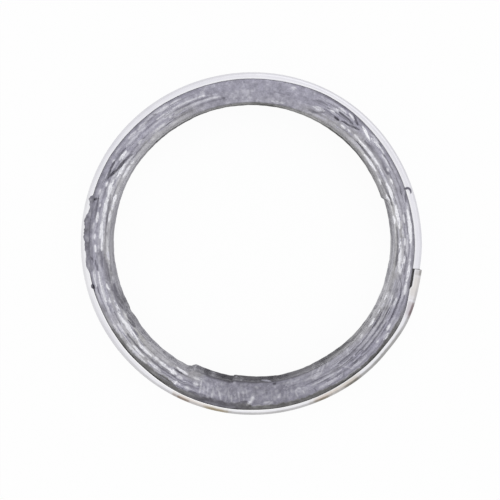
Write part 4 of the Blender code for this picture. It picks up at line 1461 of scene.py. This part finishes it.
def squeezed_graphite():
    """A thin closed smear on the lip, from under the lip's edge to an uneven outer edge."""
    edge_angles, edge_radii = np.array(SPILL_EDGE).T
    angle = np.linspace(edge_angles[0], edge_angles[-1], SPILL_COLUMNS)[:, None]
    outer = np.interp(angle, edge_angles, edge_radii) * MM + SPILL_RAGGED * grain(angle, 0.0, 620, 1.0, 91)
    inner = face_edge(angle) - SPILL_ROOT
    share = np.linspace(0.0, 1.0, SPILL_ROWS)
    top_radius = inner + (outer - inner) * share
    swell = np.sqrt(np.clip(1.0 - share**3, 0.0, 1.0))
    starting = smooth_step((angle - angle[0]) / SPILL_ENDS_DEG)
    ending = smooth_step((angle[-1] - angle) / SPILL_ENDS_DEG)
    rough = SPILL_ROUGH * grain(angle, top_radius, 700, 0.00016, 92)
    top_height = LIP_TOP - SPILL_UPPER_SINK + (SPILL_SWELL + rough) * swell * (starting * ending)
    radius = joined([top_radius, outer, inner], SPILL_COLUMNS)
    height = joined([top_height, np.full(2, LIP_TOP - SPILL_LOWER_SINK)], SPILL_COLUMNS)
    dark = smooth_step(0.55 + grain(angle, radius, 150, 0.0004, 93)) * hump(angle, 176.0, 9.0)
    dark = np.maximum(dark, 0.5 * hump(angle, 164.0, 3.2))
    marks = {
        "burnish": np.clip(0.12 + 0.3 * grain(angle, radius, 300, 0.0003, 94), 0.0, 1.0),
        "graphite": np.clip(0.36 + 0.45 * dark + 0.1 * grain(angle, radius, 600, 0.0002, 95), 0.0, 1.0),
        "warmth": np.full_like(radius, 0.1),
    }
    points = at(angle, radius, height)
    blocks, corner_uv = strand_blocks(1, *radius.shape)
    piece = add_piece("squeezed_graphite", points, blocks, pressed_finish, corner_uv, marks)


squeezed_graphite()

# %% [markdown]
# ## The rolled band
#
# A strip of bright sheet is bent round the ring and rolled in at both edges. Its section is a C with rounded
# corners, carried round the ring once. Between 320 and 335 degrees it climbs over the tongue of its other
# end, and it lies on the tongue up to its free end at 351 degrees, where its lip stands a little open. A
# spun profile would close on itself, and this band has two ends, so the section is carried by formula.

# %% Section of the band
BAND_COLUMNS = 1260
BAND_WALL_ROWS = 20
LIP_DIP = 0.00001
LIP_STEPS = np.linspace(0.0, 1.0, 5, endpoint=False)
UNDER_LIP_STEPS = np.array([0.0, 0.5])
NOSE_TURN = np.linspace(1.5 * np.pi, 0.5 * np.pi, 6)[1:-1]
BEND_TURN = np.linspace(0.5 * np.pi, 0.0, 9)
INNER_BEND_TURN = np.linspace(0.5 * np.pi, 0.0, 4)
SEAM_GAP_DEG = 0.12


def band_radius(unrolled):
    """Outer radius of the band: on the ring's waist, then one sheet and one clearance more on the tongue."""
    on_ring = seat_radius(unrolled) + BAND_CLEARANCE + BAND_THICKNESS
    tongue_tip = BAND_JOINT_DEG - TONGUE_LENGTH_DEG
    climbed = smooth_step((unrolled - (tongue_tip - LAP_RAMP_DEG)) / LAP_RAMP_DEG)
    return on_ring + climbed * (BAND_THICKNESS + BAND_CLEARANCE)


def arc_rows(centre_radius, centre_height, size, turn):
    """Rows along an arc of the section: size times the cosine of the turn outwards, and the sine upwards."""
    return centre_radius + size * np.cos(turn), centre_height + size * np.sin(turn)


def band_section(unrolled):
    """Radius and height of the band's closed section at each angle, from the upper lip's edge outwards.

    The outer skin runs along the lip, round the bend, down the wall and back below; the inner skin returns
    one sheet thickness inside it. Half circles close the two edges of the lips.
    """
    half = 0.5 * BAND_THICKNESS
    bend_level = LIP_TOP - BAND_BEND_RADIUS
    outer = band_radius(unrolled)[:, None]
    lip_start = lip_radius(unrolled)[:, None] + half
    lip_end = outer - BAND_BEND_RADIUS
    lip_width = lip_end - lip_start
    skin = [
        arc_rows(lip_start, LIP_TOP - half, half, NOSE_TURN),
        (lip_start + lip_width * LIP_STEPS, LIP_TOP - LIP_DIP * np.sin(np.pi * LIP_STEPS)),
        arc_rows(lip_end, bend_level, BAND_BEND_RADIUS, BEND_TURN),
    ]
    lining = [
        (lip_start + lip_width * UNDER_LIP_STEPS, np.full(2, LIP_TOP - BAND_THICKNESS)),
        arc_rows(lip_end, bend_level, INNER_BEND_RADIUS, INNER_BEND_TURN),
    ]
    skin_r, skin_h = [joined(rows, BAND_COLUMNS) for rows in zip(*skin)]
    lining_r, lining_h = [joined(rows, BAND_COLUMNS) for rows in zip(*lining)]
    wall_h = np.linspace(bend_level, RING_HEIGHT - bend_level, BAND_WALL_ROWS)[1:-1]
    wall_r = np.repeat(outer, len(wall_h), axis=1)
    section_r = [skin_r, wall_r, skin_r[:, ::-1], lining_r, lining_r[:, ::-1]]
    section_h = [skin_h, wall_h, RING_HEIGHT - skin_h[:, ::-1], RING_HEIGHT - lining_h, lining_h[:, ::-1]]
    return joined(section_r, BAND_COLUMNS), joined(section_h, BAND_COLUMNS)


unrolled = np.linspace(FREE_END_DEG - 360.0 + SEAM_GAP_DEG, FREE_END_DEG, BAND_COLUMNS)
band_r, band_h = band_section(unrolled)
print("Band rows:", band_r.shape[1], "and outside in mm:", round(band_r.max() / MM, 2))

# %% [markdown]
# ## Stains, scuffs and painted light of the band
#
# On the real band heat and graphite left brown stains on the outer bend that fade on to the lip, the rollers
# dulled the bends, and the dies rubbed the lips white. The grey on the bends along the lower side is painted
# shade, the white on the lips is partly painted highlight, and two stains by the free end are painted light.
# These are broad and soft, so they are marks that the mesh carries. The drawn lines of the sheet are far
# finer than the mesh, and come from noise instead.

# %% Stains on the band
# The stains at 345.8 and 350.6 degrees are painted light: reflection on the free end's lip, shade on its cut
# end.
STAINS = [
    (245.6, 4.0, (0.27, 0.18, 0.13), 0.95, 0.20), (249.5, 10.0, (0.88, 0.79, 0.68), 0.35, 0.75),
    (257.4, 6.0, (0.60, 0.49, 0.29), 0.85, 0.30), (294.2, 4.8, (0.30, 0.255, 0.15), 0.95, 0.18),
    (295.5, 6.0, (0.86, 0.75, 0.65), 0.35, 0.85), (305.6, 4.2, (0.29, 0.28, 0.25), 0.95, 0.22),
    (302.8, 8.5, (0.78, 0.71, 0.60), 0.35, 0.80), (337.6, 4.0, (0.41, 0.32, 0.33), 0.95, 0.40),
    (345.8, 6.4, (0.88, 0.85, 0.77), 0.70, 0.85), (350.6, 1.6, (0.50, 0.48, 0.44), 0.95, 0.45),
]
STAIN_FOOT_MM = 4.2
STAIN_ON_WALL = 0.08
BEND_START = 0.48 * MM
BEND_FADE = 0.22 * MM
STAIN_EDGE = 0.30 * MM


def stain_colours(angle, radius, height):
    """A tint for each point of the band: white, blended towards each stain's colour near its angle.

    Each stain is a centre, a half width, a colour, and its strength on the upper bend and on the lip. It
    fades down the wall, where only a trace is left.
    """
    tint = np.ones(radius.shape + (3,))
    on_bend = smooth_step((radius - band_radius(angle) + BEND_START) / BEND_FADE)
    up = smooth_step((height / MM - STAIN_FOOT_MM + 0.4 * grain(angle, 0.0, 210, 1.0, 40)) / 0.6)
    near_edge = smooth_step(1.0 - (radius - lip_radius(angle)) / STAIN_EDGE)
    ripple = 1.0 + 0.3 * grain(angle, height, 500, 0.0007, 41)
    for centre, half_width, colour, on_corner, on_lip in STAINS:
        patch = smooth_step(1.4 * (1.0 - np.abs(turned(angle, centre)) / half_width * ripple))
        strength = on_lip * (1.0 - near_edge) + (on_corner - on_lip) * on_bend
        share = (strength * patch * (STAIN_ON_WALL + (1.0 - STAIN_ON_WALL) * up))[..., None]
        tint = tint * (1.0 - share) + np.array(colour) * share
    return tint


print("Stains on the band:", len(STAINS))

# %% Scuffed bends with painted shade, and lips with polish and painted highlight
WALL_REACH_MM = 2.0
BEND_SCUFF_AND_SHADE_REACH = 0.14
BEND_SCUFF_AND_SHADE_REACH_HUMPS = [(320.0, 30.0, 0.03), (212.0, 26.0, 0.03)]
BEND_SCUFF_AND_SHADE = 0.15
# The humps at 274 and 324 degrees paint shade on the bends along the lower side.
BEND_SCUFF_AND_SHADE_HUMPS = [(274.0, 84.0, 0.56), (324.0, 32.0, 0.66)]
LIP_POLISH_AND_HIGHLIGHT = 0.35
LIP_POLISH_AND_HIGHLIGHT_WIDTH = 0.34 * MM
HIGHLIGHT_SPOT_WIDTH = 0.30 * MM
HIGHLIGHT_BESIDE_TAIL = (18.4, 1.3)
# These humps whiten the lip at the lower side and the left, partly as painted highlight.
LIP_POLISH_AND_HIGHLIGHT_HUMPS = [(268.0, 86.0, 0.34), (322.0, 26.0, 0.05), (180.0, 38.0, 0.58)]


def wall_share(height):
    """1 on the band's upright wall, 0 on its bends and lips."""
    return smooth_step((WALL_REACH_MM - np.abs(height - 0.5 * RING_HEIGHT) / MM) / 0.4)


def scuff_and_bend_shade(angle, radius, height):
    """How far the band is greyed: the rollers dulled its bends and the wall a little, and on the bends at the
    lower side painted shade greys it much more.

    The wall has faint lines that run round it and a few broad smudges.
    """
    reach = (BEND_SCUFF_AND_SHADE_REACH + humps(angle, BEND_SCUFF_AND_SHADE_REACH_HUMPS)) * MM
    uneven = 0.15 * grain(angle, height, 420, 0.0007, 42)
    bend = smooth_step(3.1 - (band_radius(angle) - radius) / reach + uneven)
    from_middle = np.abs(height - 0.5 * RING_HEIGHT) / MM
    on_wall = 0.25 + 0.75 * smooth_step((from_middle - 1.6) / 0.5)
    rolled = smooth_step(0.4 + grain(angle, height, 36, 0.00034, 43))
    smudged = smooth_step(0.1 + 1.4 * grain(angle, height, 64, 0.0014, 44))
    wear = wall_share(height) * (0.12 * rolled + 0.09 * smudged)
    return bend * (BEND_SCUFF_AND_SHADE + humps(angle, BEND_SCUFF_AND_SHADE_HUMPS)) * on_wall + 0.08 * hump(angle, 42.0, 44.0) + wear


def polish_and_highlight_lip(angle, radius):
    """1 where the lip is white, partly worn by the dies and partly painted highlight: along its inner edge,
    and over its width at the lower side and left.

    A small painted highlight lies beside the hooked tail.
    """
    from_edge = radius - lip_radius(angle)
    edge = smooth_step(1.0 - from_edge / LIP_POLISH_AND_HIGHLIGHT_WIDTH)
    sector = LIP_POLISH_AND_HIGHLIGHT + humps(angle, LIP_POLISH_AND_HIGHLIGHT_HUMPS)
    beside_tail = hump(angle, *HIGHLIGHT_BESIDE_TAIL) * smooth_step(1.4 - from_edge / HIGHLIGHT_SPOT_WIDTH)
    rubbed_and_highlit = np.clip(np.maximum(edge * (sector + 0.2), 0.8 * sector - 0.28), 0.0, 1.0)
    return rubbed_and_highlit + beside_tail * (1.0 - edge)


band_angle = unrolled[:, None]
band_marks = {
    "tint": stain_colours(band_angle, band_r, band_h),
    "scuff_and_shade": scuff_and_bend_shade(band_angle, band_r, band_h),
    "polish_and_highlight": polish_and_highlight_lip(band_angle, band_r),
    "wall": wall_share(band_h),
}
for mark, values in band_marks.items():
    print(mark, "runs from", round(float(values.min()), 2), "to", round(float(values.max()), 2))

# %% [markdown]
# ## Finish of the band
#
# Rolled stainless sheet is a bright mirror broken up by drawn lines that run along it. A plain mirror would
# show the white room alone and vanish on the white ground, and brushed noise without a direction would look
# cast. So the lines are noise on the band's own UV map, drawn out along it, and the marks are laid over them.

# %% Stainless finish
DULL_SHEET = (0.745, 0.738, 0.791, 1.0)
BRIGHT_SHEET = (0.810, 0.805, 0.851, 1.0)
DRAWN_DARK = (0.54, 0.535, 0.565, 1.0)
DRAWN_LIGHT = (0.82, 0.815, 0.845, 1.0)
POLISH_AND_HIGHLIGHT_WHITE = (0.935, 0.935, 0.93, 1.0)
SCUFF_AND_SHADE_GREY = (0.30, 0.295, 0.285, 1.0)


def stainless():
    """Bright metal: tint from the mesh, fine lines along the band from its UV map, and soft waves.

    The lines are clearer on the wall, where nothing rubbed them off.
    """
    material, tree, shader = new_material("stainless")
    lines = drawn_noise(tree, stretch=(24.0, 260.0, 1.0), detail=3.0)
    drawn = drawn_noise(tree, stretch=(9.0, 150.0, 1.0), detail=5.0, roughness=0.72)
    drawn = calc(tree, "MULTIPLY_ADD", drawn, 2.6, -0.8, clamp=True)
    drawn = mix_colour(tree, drawn, DRAWN_DARK, DRAWN_LIGHT)
    cloud = noise(tree, object_place(tree), scale=420.0, detail=2.0)
    scuff_and_shade = share_from(tree, "scuff_and_shade")
    colour = mix_colour(tree, lines, DULL_SHEET, BRIGHT_SHEET)
    colour = mix_colour(tree, share_from(tree, "wall"), colour, drawn)
    # Polish and painted highlight whiten the lip.
    colour = mix_colour(tree, share_from(tree, "polish_and_highlight"), colour, POLISH_AND_HIGHLIGHT_WHITE)
    # Scuffs, and painted shade on the bends at the lower side, grey the band.
    colour = mix_colour(tree, calc(tree, "MULTIPLY", scuff_and_shade, 0.85), colour, SCUFF_AND_SHADE_GREY)
    colour = mix_colour(tree, 0.20, colour, cloud, "OVERLAY")
    tint = put(tree, "ShaderNodeAttribute", attribute_name="tint").outputs["Color"]
    colour = mix_colour(tree, 1.0, colour, tint, "MULTIPLY")
    rough = calc(tree, "MULTIPLY_ADD", lines, 0.10, 0.26)
    rough = calc(tree, "MULTIPLY_ADD", scuff_and_shade, 0.22, rough)
    coat(tree, shader, colour, metallic=1.0, roughness=rough, relief=cloud, strength=0.2, distance=0.00003)
    return material


stainless_finish = stainless()

# %% Make the rolled band
band_blocks, band_uv = strand_blocks(1, *band_r.shape)
band_points = at(band_angle, band_r, band_h)
rolled_band = add_piece("rolled_band", band_points, band_blocks, stainless_finish, band_uv, band_marks)
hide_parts("outer_band")

# %% [markdown]
# ## Floor, light and camera
#
# The part is seen from above on a white ground. Floor and sky are white to the camera and to the mirrored
# rays, so that the metal shows the white room that it stands in. A floor that is only lit would turn grey,
# and one that only glows would lose its shadow, so this one does a little of both. The sky lights the dull
# parts a little more from overhead and from the upper right, where the lamp stands.

# %% Floor
FLOOR_HALF = 0.6
FLOOR_SINK = 0.00002
FLOOR_GLOW_SHARE = 0.95
WHITE = (1.0, 1.0, 1.0, 1.0)


def seen_directly(tree):
    """1 for rays that should see the plain background: from the camera, mirrored, or through glass."""
    path = put(tree, "ShaderNodeLightPath").outputs
    seen = calc(tree, "MAXIMUM", path["Is Camera Ray"], path["Is Glossy Ray"])
    return calc(tree, "MAXIMUM", seen, path["Is Transmission Ray"])


def floor_material():
    """White paper: mostly its own white to the camera, and the rest lit, so that a faint shadow stays."""
    material, tree, shader = new_material("white_floor")
    shader.inputs["Base Color"].default_value = (0.9, 0.9, 0.9, 1.0)
    shader.inputs["Roughness"].default_value = 0.9
    shader.inputs["Specular IOR Level"].default_value = 0.0
    glow = put(tree, "ShaderNodeEmission", {"Color": WHITE, "Strength": 1.0})
    share = calc(tree, "MULTIPLY", seen_directly(tree), FLOOR_GLOW_SHARE)
    mix = put(tree, "ShaderNodeMixShader", {0: share, 1: shader.outputs[0], 2: glow.outputs[0]})
    feed(tree, tree.nodes["Material Output"].inputs["Surface"], mix.outputs[0])
    return material


square = FLOOR_HALF * np.array([(-1, -1), (1, -1), (1, 1), (-1, 1)])
floor_mesh = bpy.data.meshes.new("floor")
floor_mesh.from_pydata([(x, y, -FLOOR_SINK) for x, y in square], [], [(0, 1, 2, 3)])
floor_mesh.materials.append(floor_material())
floor = new_object("floor", floor_mesh)
print("Floor of", 2.0 * FLOOR_HALF, "m, sunk by", FLOOR_SINK / MM, "mm")

# %% Sky
SKY_TOWARDS = (0.15, 0.36, 0.92)
SKY_SLOPE = 0.18
SKY_LEVEL = 0.74
SKY_LEAST = 0.16


def light_sky():
    """White to the camera and in mirrors; its light is strongest from overhead and the upper right.

    The light from a direction is slope x (direction . towards) + level.
    """
    world = bpy.data.worlds.new("studio")
    bpy.context.scene.world = world
    world.use_nodes = True
    tree = world.node_tree
    background = tree.nodes["Background"]
    direction = put(tree, "ShaderNodeTexCoord").outputs["Generated"]
    inputs = {0: direction, 1: SKY_TOWARDS}
    towards = put(tree, "ShaderNodeVectorMath", inputs, operation="DOT_PRODUCT").outputs["Value"]
    level = calc(tree, "MULTIPLY_ADD", towards, SKY_SLOPE, SKY_LEVEL)
    level = calc(tree, "MAXIMUM", level, SKY_LEAST)
    strength = put(tree, "ShaderNodeMix", {0: seen_directly(tree), 2: level, 3: 1.0}, data_type="FLOAT")
    background.inputs["Color"].default_value = WHITE
    feed(tree, background.inputs["Strength"], strength.outputs[0])
    print("Sky of", len(tree.nodes), "nodes")


light_sky()

# %% Lamp
LAMP_PLACE = (0.16, 0.22, 0.34)
LAMP_SIDE = 0.36
LAMP_POWER = 0.15

lamp = bpy.data.lights.new("key", "AREA")
lamp.size = LAMP_SIDE
lamp.energy = LAMP_POWER
lamp_holder = new_object("key", lamp)
lamp_holder.location = LAMP_PLACE
lamp_holder.rotation_euler = (-mathutils.Vector(LAMP_PLACE)).to_track_quat("-Z", "Y").to_euler()
print("Lamp of", LAMP_SIDE, "m at", LAMP_PLACE, "turned to the middle of the ring")

# %% [markdown]
# ## Where the camera stands
#
# The ring fills the picture at a set number of millimetres a pixel, and its centre lies a few pixels off the
# middle. The camera stands a little towards the upper side and looks back at the centre, so that the bore's
# wall shows most along the lower side. A long lens from farther off would hide that wall: the height sets
# how much of it shows, and the lens follows from the height and the width of the picture.

# %% Camera
PHOTO_SIDE = 500.0
METRES_PER_PIXEL = 0.0001292
CAMERA_HEIGHT = 0.177
CAMERA_PLACE_Y = 0.0096
RING_CENTRE_PIXEL = (252.4, 245.0)
SENSOR_WIDTH = 36.0

middle_pixel = 0.5 * PHOTO_SIDE
aim_x = -(RING_CENTRE_PIXEL[0] - middle_pixel) * METRES_PER_PIXEL
aim_y = (RING_CENTRE_PIXEL[1] - middle_pixel) * METRES_PER_PIXEL
eye = mathutils.Vector((aim_x, CAMERA_PLACE_Y, RING_HEIGHT + CAMERA_HEIGHT))
aim = mathutils.Vector((aim_x, aim_y, RING_HEIGHT))
camera_data = bpy.data.cameras.new("camera")
camera_data.sensor_width = SENSOR_WIDTH
camera_data.lens = SENSOR_WIDTH * (aim - eye).length / (PHOTO_SIDE * METRES_PER_PIXEL)
camera_data.clip_start = 0.01
camera_data.clip_end = 10.0
camera = new_object("camera", camera_data)
camera.location = eye
camera.rotation_euler = (np.arctan2(aim.y - eye.y, eye.z - aim.z), 0.0, 0.0)
bpy.context.scene.camera = camera
print("Lens in mm:", round(camera_data.lens, 1))

# %% [markdown]
# ## Colour view
#
# The plain view transform keeps the white ground white and the greys as they were mixed.

# %% Colour view
bpy.context.scene.view_settings.view_transform = "Standard"
